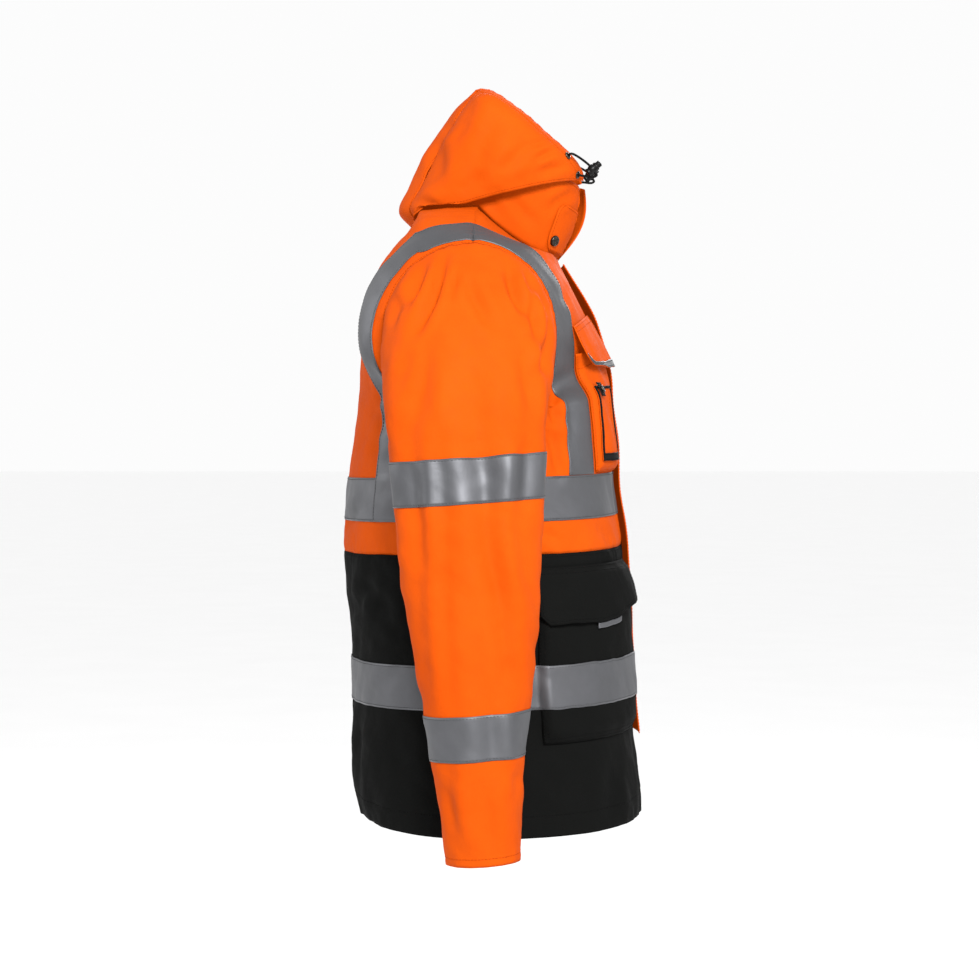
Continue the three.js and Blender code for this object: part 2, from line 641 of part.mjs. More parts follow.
// Reflective bands round the body, in three lengths
const bandRows = (rows, top) => [rowAt(rows, top - TAPE_WIDTH), rowAt(rows, top)];
const chestBand = bandRows(frontUpperRows, CHEST_TAPE_TOP);
const backChestBand = bandRows(backUpperRows, CHEST_TAPE_TOP);
const lowerBand = bandRows(lowerRows, LOWER_TAPE_TOP);
const pocketSpan = [2, pocketColumns.length - 1];
const overPocket = (i, j) => {
  if (j < pocketSpan[0] || j > pocketSpan[1]) return TAPE_LIFT;
  const edge = j === pocketSpan[0] || j === pocketSpan[1];
  return (edge ? TAPE_LIFT : LOWER_POCKET.proud) + CLOTH + TAPE_LIFT;
};
addPiece('tape_chest_back', tape(backUpper, { rows: backChestBand }), 'tape');
addPiece('tape_lower_back', tape(backLower, { rows: lowerBand }), 'tape');
for (const { name, of } of sides) {
  addPiece(`tape_chest_front_${name}`, tape(of(frontUpper), { rows: chestBand }), 'tape');
  addPiece(`tape_lower_front_${name}`, tape(of(frontLower), { rows: lowerBand, lift: overPocket }), 'tape');
}

// Braces over the shoulders
const braceFrontRows = [rowAt(frontUpperRows, CHEST_POCKET.bottom), frontUpperRows.length - 1];
const braceBackRows = [backChestBand[0], backUpperRows.length - 1];
const backHalf = backUpper.points[0].length / 2;
const overBand = (i) => (i <= backChestBand[1] ? TAPE_LIFT * 2 + TAPE_THICK : TAPE_LIFT);
for (const { name, of } of sides) {
  const frontSpan = [frontBraceAt, frontBraceAt + 2];
  addPiece(
    `brace_front_${name}`,
    tape(of(frontUpper), { rows: braceFrontRows, columns: frontSpan }),
    'tape',
  );
  const first = name === 'right' ? backHalf + backBraceAt : backHalf - 1 - backBraceAt - 2;
  addPiece(
    `brace_back_${name}`,
    tape(backUpper, { rows: braceBackRows, columns: [first, first + 2], lift: overBand }),
    'tape',
  );
}

// Sleeves: a cap that leaves the armhole and turns down into rings
const frontShares = frontUpperRows.filter((z) => z > ARMPIT_Z).map((z) => armShare(z, 'front'));
const backShares = backUpperRows.filter((z) => z > ARMPIT_Z).map((z) => armShare(z, 'back'));
const sleeveTurns = [
  0,
  ...frontShares.slice(0, -1).map((s) => Math.PI * s),
  Math.PI,
  ...backShares.slice(0, -1).reverse().map((s) => 2 * Math.PI - Math.PI * s),
];
const sleeveRings = [
  -250, UPPER_BAND_TOP, UPPER_BAND_TOP - TAPE_WIDTH, -365, -405, -450, -500, SLEEVE_BAND_TOP,
  SLEEVE_BAND_TOP - TAPE_WIDTH, -640, -678, CUFF_Z,
];

// Point of the right sleeve's ring at a height, at a turn from the inner side over the front.
function sleeveRing(turn, z) {
  const inner = read(SLEEVE, 'z', 'inner', z);
  const outer = read(SLEEVE, 'z', 'outer', z);
  const back = read(SLEEVE, 'z', 'back', z);
  const front = read(SLEEVE, 'z', 'front', z);
  const power = (value) => Math.sign(value) * Math.abs(value) ** SLEEVE_SQUARENESS;
  const x = -(inner + outer) / 2 + ((outer - inner) / 2) * power(Math.cos(turn));
  const y = (back - front) / 2 - ((back + front) / 2) * power(Math.sin(turn));
  return vec(x, y, z - SLEEVE_TILT * (y - SLEEVE_MIDDLE_Y));
}

// How far the folds move a point of the sleeve at a turn and height; turns are compared over the cloth.
function sleeveFold(turn, z) {
  const past = (angle) => {
    const away = THREE.MathUtils.degToRad(angle) - turn;
    return Math.atan2(Math.sin(away), Math.cos(away)) * SLEEVE_GIRTH_RADIUS;
  };
  return SLEEVE_FOLDS.reduce(
    (sum, f) => sum + foldDepth(f, 0, z, past(f.fromAngle), f.fromZ, past(f.toAngle), f.toZ),
    0,
  );
}

// Point of the sleeve cap: a curve from the armhole into the first ring.
function capPoint(turn, t) {
  const front = turn <= Math.PI;
  const seam = armhole(front ? turn : 2 * Math.PI - turn, front ? 'front' : 'back');
  const ring = sleeveRing(turn, sleeveRings[0]);
  const top = (1 - Math.cos(turn)) / 2;
  const away = vec(
    mix(CAP.lowX, CAP.topX, top),
    -CAP.forward * Math.sin(turn),
    mix(CAP.lowZ, CAP.topZ, top),
  ).normalize();
  const start = seam.addScaledVector(away, SEAM_GAP);
  const reach = mix(CAP.lowReach, CAP.topReach, top);
  const a = away.multiplyScalar(reach);
  const b = vec(0, 0, -reach);
  return start.multiplyScalar((1 + 2 * t) * (1 - t) ** 2)
    .addScaledVector(a, t * (1 - t) ** 2)
    .addScaledVector(ring, t * t * (3 - 2 * t))
    .addScaledVector(b, t * t * (t - 1));
}

const sleeveSheet = makeSheet(
  CAP_STEPS.length + sleeveRings.length,
  sleeveTurns.length,
  (i, j) => (i < CAP_STEPS.length
    ? capPoint(sleeveTurns[j], CAP_STEPS[i])
    : sleeveRing(sleeveTurns[j], sleeveRings[i - CAP_STEPS.length])),
  vec(-290, SLEEVE_MIDDLE_Y, -300),
  {
    closed: true,
    press: (i, j) => {
      if (i === 0) return 0;
      const ring = sleeveRings[i - CAP_STEPS.length];
      return sleeveFold(sleeveTurns[j], ring ?? capPoint(sleeveTurns[j], CAP_STEPS[i]).z);
    },
  },
);
for (const { name, of } of sides) {
  const sleeve = of(sleeveSheet);
  addPiece(`sleeve_${name}`, panel(sleeve), 'orange');
  for (const [place, top] of [['upper', UPPER_BAND_TOP], ['lower', SLEEVE_BAND_TOP]]) {
    const first = CAP_STEPS.length + sleeveRings.indexOf(top);
    addPiece(`tape_sleeve_${place}_${name}`, tape(sleeve, { rows: [first, first + 1] }), 'tape');
  }
}

// Collar: a standing strip from the neck seam, open at the front
const COLLAR_ROWS = 4;
const COLLAR_HALF_COLUMNS = 10;
const COLLAR_LIFT = 0.4;

// Point of the collar's right half at a way round, from 0 in front to 2 behind, and a share of its height.
function collarPoint(round, high, end) {
  const front = round <= 1;
  const turn = front ? round : 2 - round;
  const base = neckline(turn, front ? 'front' : 'back');
  const angle = (turn * Math.PI) / 2;
  const topY = front
    ? mix(COLLAR.sideY, COLLAR.frontY, Math.cos(angle))
    : mix(COLLAR.sideY, COLLAR.backY, Math.cos(angle));
  const topZ = front
    ? mix(COLLAR.frontZ, COLLAR.sideZ, turn ** COLLAR.rise)
    : mix(COLLAR.backZ, COLLAR.sideZ, turn ** COLLAR.rise);
  const top = vec(-COLLAR.half * Math.sin(angle), topY, topZ);
  const point = blend(base.add(vec(0, 0, COLLAR_LIFT)), top, high);
  point.y -= COLLAR.bulge * Math.sin(Math.PI * high) * (front ? Math.cos(angle) : 0);
  point.x = Math.min(point.x, -end);
  return point;
}
const collarTurns = [...neckTurns.front, ...neckTurns.back.slice(0, -1).reverse().map((turn) => 2 - turn)];
const collarLast = 2 * (collarTurns.length - 1);
const collarSheet = makeSheet(
  COLLAR_ROWS,
  collarLast + 1,
  (i, j) => {
    const right = j <= collarLast / 2;
    const k = right ? j : collarLast - j;
    const high = i / (COLLAR_ROWS - 1);
    const back = j === collarLast / 2;
    const point = collarPoint(collarTurns[k], high, back ? 0 : COLLAR_END[right ? 'right' : 'left']);
    if (right) return point;
    const bulge = COLLAR_END.leftBulge * Math.sin(Math.PI * high);
    const forward = COLLAR_END.leftForward * Math.sqrt(high) + bulge;
    point.x = -point.x;
    point.y -= forward * (1 - smooth(k / 3));
    return point;
  },
  vec(0, 0, 20),
);
addPiece('collar', wall(collarSheet, { lift: -CLOTH, bevel: 0.4 }), 'orange');

// Part of a sheet between its grid lines: fractional rows and columns are worked out straight between them.
function partOf(sheet, rows, columns) {
  const between = (grid, i, j) => {
    const a = Math.min(Math.floor(i), grid.length - 2);
    const b = Math.min(Math.floor(j), grid[0].length - 2);
    const low = blend(grid[a][b], grid[a][b + 1], j - b);
    const high = blend(grid[a + 1][b], grid[a + 1][b + 1], j - b);
    return low.lerp(high, i - a);
  };
  return {
    points: rows.map((i) => columns.map((j) => between(sheet.points, i, j))),
    normals: rows.map((i) => columns.map((j) => between(sheet.normals, i, j).normalize())),
    closed: false,
    turned: sheet.turned,
  };
}

addPiece(
  'collar_tab',
  wall(partOf(collarSheet, [COLLAR_TAB_FOOT, 1, 2], [0, 1, 2]), { lift: 1.5 * SEAM_GAP }),
  'orange',
);

// Places a geometry made along +Z on a point, with +Z turned to a direction.
function placed(geometry, point, direction) {
  const turn = new THREE.Quaternion().setFromUnitVectors(vec(0, 0, 1), direction.clone().normalize());
  return geometry.applyQuaternion(turn).translate(point.x, point.y, point.z);
}

const ROUND_SIDES = 16;

// A body turned about +Z from radius and height pairs.
const turned = (profile) => new THREE.LatheGeometry(
  profile.map(([x, y]) => new THREE.Vector2(x, y)),
  ROUND_SIDES,
).rotateX(Math.PI / 2);

// A round button standing on z = 0.
const stud = (radius, high) => turned([
  [0, 0], [radius, 0], [radius, high * 0.6], [radius * 0.75, high], [0, high],
]);

// Point and normal of a sheet at fractional grid places.
function spot(sheet, row, column) {
  const part = partOf(sheet, [row], [column]);
  return { point: part.points[0][0], normal: part.normals[0][0] };
}

const snapSpot = spot(collarSheet, SNAP.row, SNAP.column);
addPiece(
  'collar_snap',
  placed(
    stud(SNAP.radius, SNAP.high),
    snapSpot.point.clone().addScaledVector(snapSpot.normal, CLOTH + 3 * SEAM_GAP),
    snapSpot.normal,
  ),
  'metal',
);

// Hood: two side panels and a centre panel, over the back of the collar
const hoodRead = (column, step) => read(HOOD, 'step', column, step);
const hoodSteps = [0, 0.1, 0.2, 0.32, 0.46, 0.6, 0.74, 0.88, 1];
const HOOD_SIDE_COLUMNS = 9;

// Back outline, seam and face edge of the hood on a row.
function hoodRow(step) {
  const back = vec(0, hoodRead('backY', step), hoodRead('backZ', step));
  const edge = vec(-hoodRead('edgeHalf', step), hoodRead('edgeY', step), hoodRead('edgeZ', step));
  const inward = vec(0, edge.y - back.y, edge.z - back.z).normalize();
  return { back, edge, inward, inset: hoodRead('inset', step), wide: hoodRead('wide', step) };
}

// Point of the hood's centre panel, with `across` from -1 at the right seam to 1 at the left seam.
function hoodCentre(across, step) {
  const { back, inward, inset } = hoodRow(step);
  const half = HOOD_SEAM_HALF - HALF_GAP;
  const point = back.clone().addScaledVector(inward, inset * across * across);
  point.x = across * half;
  return point;
}

// Point of the right side panel, with `along` from the back seam at 0 to the face edge at 1.
function hoodSide(along, step) {
  const { back, edge, inward, inset, wide } = hoodRow(step);
  const seam = back.clone().addScaledVector(inward, inset);
  seam.x = -HOOD_SEAM_HALF - HALF_GAP;
  const out = -(wide + (seam.x + edge.x) / 8) / 0.75;
  const first = blend(seam, edge, 0.04 + 0.1 * smooth(step / 0.45));
  const second = blend(seam, edge, 0.84);
  first.x = out;
  second.x = out;
  const point = new THREE.CubicBezierCurve3(seam, first, second, edge).getPoint(along);
  point.z += HOOD_BOTTOM_RISE * Math.sin(Math.PI * along) * (1 - smooth(step / 0.2));
  return point;
}

// Moves a point out until it lies clear of a sheet's outer face.
function clearOf(sheet, point, clear) {
  const closest = { away: Infinity };
  const spotOn = vec(0, 0, 0);
  for (let i = 0; i < sheet.points.length - 1; i += 1) {
    for (let j = 0; j < sheet.points[0].length - 1; j += 1) {
      if (middleSide(sheet, j) < 0) continue;
      const [a, b] = sheet.points[i].slice(j, j + 2);
      const [d, c] = sheet.points[i + 1].slice(j, j + 2);
      for (const corners of [[a, b, c], [a, c, d]]) {
        new THREE.Triangle(...corners).closestPointToPoint(point, spotOn);
        const away = spotOn.distanceTo(point);
        if (away < closest.away) {
          Object.assign(closest, { away, at: spotOn.clone(), normal: sheet.normals[i][j] });
        }
      }
    }
  }
  const height = point.clone().sub(closest.at).dot(closest.normal) < 0 ? -closest.away : closest.away;
  if (height < clear) point.copy(closest.at).addScaledVector(closest.normal, clear);
  return point;
}

const HOOD_LOW_ROWS = 4;
const hoodInside = vec(0, 0, 70);
const hoodPoint = (point, i) => {
  const clear = CLOTH + HOOD_CLEAR + HOOD_SIDE_CLEAR * smooth((Math.abs(point.x) - HOOD_SEAM_HALF) / 25);
  return i < HOOD_LOW_ROWS ? clearOf(backUpper, point, clear) : point;
};
const hoodSideSheet = makeSheet(
  hoodSteps.length,
  HOOD_SIDE_COLUMNS,
  (i, j) => hoodPoint(hoodSide(j / (HOOD_SIDE_COLUMNS - 1), hoodSteps[i]), i),
  hoodInside,
);
const hoodCentreSheet = makeSheet(
  hoodSteps.length + CROWN.length,
  5,
  (i, j) => {
    const across = (j - 2) / 2;
    if (i < hoodSteps.length) return hoodPoint(hoodCentre(across, hoodSteps[i]), i);
    const { y, z, seamZ } = CROWN[i - hoodSteps.length];
    return vec(across * (HOOD_SEAM_HALF - HALF_GAP), y, mix(z, seamZ, across * across));
  },
  hoodInside,
);
addPiece('hood_centre', panel(hoodCentreSheet), 'orange');
for (const { name, of } of sides) {
  addPiece(`hood_side_${name}`, panel(of(hoodSideSheet)), 'orange');
}

// Pockets: a patch raised from its edges, with its mouth open under a flap
function patchLift(rows, columns, proud, mouth) {
  return (i, j) => {
    if (i === rows[1]) return mouth;
    return i === rows[0] || j === columns[0] || j === columns[1] ? SEAM_GAP : proud;
  };
}

const chestRows = [rowAt(frontUpperRows, CHEST_POCKET.bottom), rowAt(frontUpperRows, CHEST_POCKET.top)];
const chestSpan = [2, chestColumns.length - 1];
addPiece('chest_pocket', wall(frontUpper, {
  rows: chestRows,
  columns: chestSpan,
  lift: patchLift(chestRows, chestSpan, CHEST_POCKET.proud, CHEST_POCKET.mouth),
}), 'orange');

const pocketRows = [rowAt(lowerRows, LOWER_POCKET.bottom), rowAt(lowerRows, LOWER_POCKET.top)];
for (const { name, of } of sides) {
  addPiece(`lower_pocket_${name}`, wall(of(frontLower), {
    rows: pocketRows,
    columns: pocketSpan,
    lift: patchLift(pocketRows, pocketSpan, LOWER_POCKET.proud, LOWER_POCKET.mouth),
  }), 'black');
}

// A flap's own sheet: sewn along its top row, standing off towards its lower edge.
// `rows` gives each row's height at the near and far edge and how far it stands off there.
function flapSheetOf(rows, columns, inside, scaleOf) {
  const last = columns.length - 1;
  return makeSheet(rows.length, columns.length, (i, j) => {
    const share = (columns[j] - columns[0]) / (columns[last] - columns[0]);
    const near = mix(rows[i].near ?? rows[i].z, rows[i].z, smooth(share * 3));
    const z = j === last ? rows[i].far ?? near : near;
    const distance = columns[j] * scaleOf(z);
    const point = bodyPoint(distance, z, 'front');
    const out = bodyNormal(distance, z, 'front');
    const off = mix(rows[i].nearOff ?? rows[i].off, rows[i].off, smooth(share * 2));
    return point.addScaledVector(out, off);
  }, inside);
}

const chestScale = (z) => Math.min(1, braceEdges(z, 'front').inner / CHEST_SCALE);
const chestFlap = flapSheetOf(
  CHEST_FLAP_ROWS,
  chestColumns.slice(2),
  vec(0, 0, CHEST_FLAP.bottom),
  chestScale,
);
addPiece('chest_flap', panel(chestFlap, { bevel: 0 }), 'orange');
addPiece('chest_flap_strip', tape(chestFlap, { rows: [0, 1] }), 'tape');

// Narrow holder on the chest pocket, with dark binding, base band, tab and snap
const holderRows = [rowAt(frontUpperRows, HOLDER.bottom), rowAt(frontUpperRows, HOLDER.top)];
const holderSpan = [3, 5];
const holderLift = CHEST_POCKET.proud + CLOTH + SEAM_GAP;
addPiece('holder', wall(frontUpper, {
  rows: holderRows, columns: holderSpan, lift: holderLift, thick: HOLDER.thick,
}), 'orange');
const trimLift = holderLift + HOLDER.thick + SEAM_GAP;
const bindShare = HOLDER.bind / (HOLDER.middle - HOLDER.near);
const baseShare = HOLDER.base / (HOLDER.lowRow - HOLDER.bottom);
const topShare = HOLDER.bind / (HOLDER.top - ARMPIT_Z);
const TRIM_GAP = 0.01;
const holderHeights = [
  holderRows[0] + baseShare + TRIM_GAP, holderRows[0] + 1, holderRows[0] + 2,
  holderRows[1] - topShare - TRIM_GAP,
];
const holderColumns = [3, 4, 5];
const trims = {
  holder_bind_near: partOf(frontUpper, holderHeights, [holderSpan[0], holderSpan[0] + bindShare]),
  holder_bind_far: partOf(frontUpper, holderHeights, [holderSpan[1] - bindShare, holderSpan[1]]),
  holder_bind_top: partOf(frontUpper, [holderRows[1] - topShare, holderRows[1]], holderColumns),
  holder_base: partOf(frontUpper, [holderRows[0], holderRows[0] + baseShare], holderColumns),
};
for (const [name, sheet] of Object.entries(trims)) {
  addPiece(name, wall(sheet, { lift: trimLift, thick: HOLDER.thick }), 'trim');
}
const tabSheet = partOf(
  frontUpper,
  [holderRows[1] - topShare * HOLDER_TAB.below, holderRows[1] + HOLDER_TAB.above],
  [HOLDER_TAB.fromColumn, HOLDER_TAB.toColumn],
);
const tabLift = trimLift + HOLDER.thick + 2 * SEAM_GAP;
addPiece('holder_tab', wall(tabSheet, { lift: tabLift, thick: HOLDER_TAB.thick }), 'trim');
const tabSpot = spot(tabSheet, HOLDER_SNAP.row, HOLDER_SNAP.column);
const tabFace = tabLift + HOLDER_TAB.thick + SEAM_GAP;
addPiece(
  'holder_snap',
  placed(
    stud(HOLDER_SNAP.radius, HOLDER_SNAP.high),
    tabSpot.point.clone().addScaledVector(tabSpot.normal, tabFace),
    tabSpot.normal,
  ),
  'metal',
);

// Lower pocket flaps, with a bare grey tab under the right one's edge
const lowerFlap = flapSheetOf(
  LOWER_FLAP_ROWS,
  pocketColumns.slice(2),
  vec(0, 0, LOWER_FLAP.bottom),
  () => 1,
);
for (const { name, of } of sides) {
  addPiece(`lower_flap_${name}`, panel(of(lowerFlap), { bevel: 0 }), 'black');
}

const labelColumns = [LABEL.near, LABEL.far];
const labelTop = LOWER_FLAP.bottom + 1;
const labelOff = LOWER_FLAP.proud - CLOTH - SEAM_GAP;
const labelSheet = makeSheet(2, 2, (i, j) => {
  const z = labelTop - (1 - i) * LABEL.high;
  const point = bodyPoint(labelColumns[j], z, 'front');
  return point.addScaledVector(bodyNormal(labelColumns[j], z, 'front'), labelOff);
}, vec(0, 0, labelTop));
addPiece('pocket_label', wall(labelSheet, { lift: -TAPE_THICK, thick: TAPE_THICK }), 'tape');

// Drawcord of the hood on both sides: out of the upper eyelet, through the barrel lock and back
// into the lower eyelet
const wasm = await Module();
wasm.setup();

// A closed geometry as a solid for cutting.
function solidOf(geometry) {
  const bare = geometry.clone();
  for (const name of Object.keys(bare.attributes)) {
    if (name !== 'position') bare.deleteAttribute(name);
  }
  const merged = mergeVertices(bare, 1e-4);
  return new wasm.Manifold(new wasm.Mesh({
    numProp: 3,
    vertProperties: new Float32Array(merged.attributes.position.array),
    triVerts: new Uint32Array(merged.index.array),
  }));
}

// One closed geometry with another cut out of it.
function cutOut(geometry, tool) {
  const mesh = solidOf(geometry).subtract(solidOf(tool)).getMesh();
  const result = new THREE.BufferGeometry();
  result.setAttribute('position', new THREE.BufferAttribute(mesh.vertProperties, 3));
  result.setIndex(new THREE.BufferAttribute(mesh.triVerts, 1));
  return result;
}

// A geometry on the other side of the body.
function mirrorGeometry(geometry) {
  const flipped = geometry.clone().scale(-1, 1, 1);
  const index = flipped.index ?? new THREE.BufferAttribute(
    Uint32Array.from({ length: flipped.attributes.position.count }, (_, i) => i),
    1,
  );
  const order = Array.from(index.array);
  for (let i = 0; i < order.length; i += 3) [order[i], order[i + 1]] = [order[i + 1], order[i]];
  return flipped.setIndex(order);
}

const lockCentre = vec(LOCK_PLACE.x, LOCK_PLACE.y, LOCK_PLACE.z);
const lockBody = placed(turned([
  [0, -LOCK.below], [LOCK.radius - 1, -LOCK.below], [LOCK.radius, -LOCK.below + 1],
  [LOCK.radius, LOCK.above - 1], [LOCK.radius - 1, LOCK.above], [LOCK.plunger, LOCK.above],
  [LOCK.plunger, LOCK.plungerEnd - 1], [LOCK.plunger - 1, LOCK.plungerEnd], [0, LOCK.plungerEnd],
]), lockCentre, LOCK_AXIS);
const boreTool = new THREE.CylinderGeometry(LOCK.bore, LOCK.bore, 4 * LOCK.radius, ROUND_SIDES)
  .rotateX(Math.PI / 2);
const cordLock = cutOut(lockBody, placed(boreTool, lockCentre, BORE_WAY));

const eyeletRing = () => turned([
  [EYELET.inner, 0], [EYELET.outer, 0], [EYELET.outer, EYELET.thick * 0.6],
  [EYELET.outer - 1, EYELET.thick], [EYELET.inner, EYELET.thick], [EYELET.inner, 0],
]);
const upperEye = spot(hoodSideSheet, EYELET_SPOTS.upperRow, EYELET_SPOTS.column);
const lowerEye = spot(hoodSideSheet, EYELET_SPOTS.lowerRow, EYELET_SPOTS.column);
const raisedSpot = ({ point, normal }, high) => point.clone().addScaledVector(normal, high);
const eyeletOn = (eye) => placed(eyeletRing(), raisedSpot(eye, EYELET.lift), eye.normal);

const BORE_REACH = LOCK.radius + 1.5;
const cordRoute = [
  raisedSpot(upperEye, CORD.start),
  raisedSpot(upperEye, CORD.start + CORD.out),
  lockCentre.clone().addScaledVector(BORE_WAY, -BORE_REACH),
  lockCentre.clone(),
  lockCentre.clone().addScaledVector(BORE_WAY, BORE_REACH),
  ...CORD_LOOP.map(({ x, y, z }) => vec(x, y, z)),
  raisedSpot(lowerEye, CORD.start + CORD.out),
  raisedSpot(lowerEye, CORD.start),
];
const cordCurve = new THREE.CatmullRomCurve3(cordRoute, false, 'centripetal');
const cordSection = new THREE.Shape(Array.from({ length: CORD.sides }, (_, i) => {
  const angle = (2 * Math.PI * i) / CORD.sides;
  return new THREE.Vector2(CORD.radius * Math.cos(angle), CORD.radius * Math.sin(angle));
}));
const cordTube = new THREE.ExtrudeGeometry(cordSection, { steps: CORD.steps, extrudePath: cordCurve });
for (const { name } of sides) {
  const turn = name === 'right' ? (geometry) => geometry : mirrorGeometry;
  addPiece(`eyelet_upper_${name}`, turn(eyeletOn(upperEye)), 'metal');
  addPiece(`eyelet_lower_${name}`, turn(eyeletOn(lowerEye)), 'metal');
  addPiece(`cord_lock_${name}`, turn(cordLock), 'trim');
  addPiece(`hood_cord_${name}`, turn(cordTube), 'trim');
}

export default jacket;
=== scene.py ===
"""Hi-vis work jacket as worn, with its hood up: shell cloth, tapes, sewing, cords and trims.

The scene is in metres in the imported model's frame: +Z is up, the front faces -Y and the wearer's
right side is at -X. The form tables are in millimetres, as are all sizes of sewn details.
"""

import logging
import math
from dataclasses import dataclass, field, replace
from enum import Enum
from typing import Callable, Iterable, Sequence

import bmesh
import bpy
import numpy as np
from mathutils import Matrix, Vector
from mathutils.kdtree import KDTree


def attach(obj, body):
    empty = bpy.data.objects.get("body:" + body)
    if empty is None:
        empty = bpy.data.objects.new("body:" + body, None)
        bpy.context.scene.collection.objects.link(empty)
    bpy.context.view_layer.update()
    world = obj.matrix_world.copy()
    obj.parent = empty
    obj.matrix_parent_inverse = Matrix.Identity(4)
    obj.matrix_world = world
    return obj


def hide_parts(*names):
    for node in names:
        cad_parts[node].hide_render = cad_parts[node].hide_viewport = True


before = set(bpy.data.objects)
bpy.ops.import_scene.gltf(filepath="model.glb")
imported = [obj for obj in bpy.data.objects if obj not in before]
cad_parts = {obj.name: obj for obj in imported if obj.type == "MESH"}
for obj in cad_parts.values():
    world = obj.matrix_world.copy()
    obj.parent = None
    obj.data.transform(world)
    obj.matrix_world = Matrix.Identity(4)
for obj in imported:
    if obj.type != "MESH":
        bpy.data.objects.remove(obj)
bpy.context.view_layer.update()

LOG = logging.getLogger("jacket")
Array = np.ndarray
MM = 0.001

# Sizes shared by the body's panels
SEAM_GAP = 0.3
HALF_GAP = SEAM_GAP / 2
CLOTH = 1.8
SHELL = 1.2
TAPE_WIDTH = 50.0
TAPE_THICK = 0.6
TAPE_LIFT = 0.35
TAPE_STITCH = 2.2
HEM_Z = -696.0
WAIST_Z = -379.0
ARMPIT_Z = -215.0
CHEST_TAPE_TOP = -292.0
LOWER_TAPE_TOP = -503.0
FRONT_NECK_Z = -38.0
BACK_NECK_Z = 20.0
NECK_SPAN = 60.0
SIDE_Y = 8.0
ZIP_HALF = 5.0
BRACE_INSET = 6.0
BRACE_EASE = 5.0
CHEST_SCALE = 160.0


def mix(a, b, t):
    """A value between a and b at a share t."""
    return a + (b - a) * t


def smooth(t):
    """A share eased at both ends, held between 0 and 1."""
    t = np.clip(t, 0.0, 1.0)
    return t * t * (3 - 2 * t)


def unit(v: Array) -> Array:
    """The same directions with length 1."""
    return v / np.maximum(np.linalg.norm(v, axis=-1, keepdims=True), 1e-12)


class Table:
    """Named columns of numbers, read on a smooth curve through their rows."""

    def __init__(self, **columns: Sequence[float]) -> None:
        """Keeps the columns; the first one is the key."""
        self.columns = {name: np.array(values, float) for name, values in columns.items()}
        self.keys = next(iter(self.columns.values()))

    def read(self, column: str, at: float | Array) -> Array:
        """Reads a column.

        Args:
            column: the column's name.
            at: values of the key.

        Returns:
            The column's values there.
        """
        x, y = self.keys, self.columns[column]
        last = len(x) - 1
        at = np.clip(at, x[0], x[-1])
        i = np.clip(np.searchsorted(x, at, side="left") - 1, 0, last - 1)

        def slope(k: Array) -> Array:
            """Slope at row k from the rows on either side."""
            low, high = np.maximum(k - 1, 0), np.minimum(k + 1, last)
            return (y[high] - y[low]) / (x[high] - x[low])

        span = x[i + 1] - x[i]
        t = (at - x[i]) / span
        turn = (t - 1) ** 2 * t * slope(i) * span + t * t * (t - 1) * slope(i + 1) * span
        return mix(y[i], y[i + 1], t * t * (3 - 2 * t)) + turn


BODY = Table(
    z=(
        -696, -665, -607, -521, -463, -420, -377, -319, -262,
        -215, -175, -118, -89, -60, -38, -17, 0, 20,
    ),
    front=(187, 185, 177, 171, 170, 166, 163, 154, 151, 145, 140, 126, 112, 97, 86, 86, 86, 86),
    back=(150, 157, 158, 158, 160, 165, 168, 165, 159, 152, 148, 144, 135, 122, 110, 97, 83, 76),
    half=(236, 234, 232, 229, 228, 227, 226, 223, 219, 215, 215, 215, 215, 215, 215, 215, 215, 215),
)
BRACE_FRONT = Table(z=(-379, -292, -180, 40), outer=(208, 208, 210, 212))
BRACE_BACK = Table(z=(-379, -292, -180, 80), outer=(226, 222, 214, 212))
BRACE_DRAWN = Table(
    z=(-379, -292, -244, -200, -175, -154, -130, -105, -60, 80),
    front=(8, 10, 12, 19, 25, 25, 15, 5, 0, 0),
    back=(0, 0, 0, 0, 4, 6, 8, 8, 6, 0),
)
SLEEVE = Table(
    z=(-711, -643, -588, -534, -479, -424, -370, -304, -250),
    back=(42, 51, 60, 69, 78, 88, 95, 100, 107),
    front=(40, 42, 45, 51, 57, 61, 63, 66, 66),
    inner=(252, 251, 248, 244, 241, 239, 237, 233, 226),
    outer=(340, 345, 347, 349, 351, 352, 352, 349, 342),
)
HOOD = Table(
    step=(0, 0.12, 0.3, 0.5, 0.7, 0.86, 1),
    backY=(88, 103, 92, 74, 55, 34, 14),
    backZ=(1, 20, 48, 88, 115, 144, 161),
    edgeY=(-117, -114, -99, -73, -48, -21, -6),
    edgeZ=(56, 69, 88, 111, 133, 152, 162),
    edgeHalf=(20, 30, 44, 54, 58, 54, 41),
    wide=(98, 102, 105, 102, 94, 78, 42.5),
    inset=(10, 15, 19, 19, 16, 12, 4),
)


class Side(Enum):
    """Front or back of the body, with the sign of its Y."""

    FRONT = -1
    BACK = 1


class Hand(Enum):
    """The wearer's right or left, with the sign of its X."""

    RIGHT = -1
    LEFT = 1

    @property
    def word(self) -> str:
        """The hand as it stands in names."""
        return self.name.lower()


class Face(Enum):
    """A direction that a crease is seen from: its normal, and the axis that it is placed along."""

    RIGHT = ((-1, 0, 0), 1)
    LEFT = ((1, 0, 0), 1)
    FRONT = ((0, -1, 0), 0)
    BACK = ((0, 1, 0), 0)


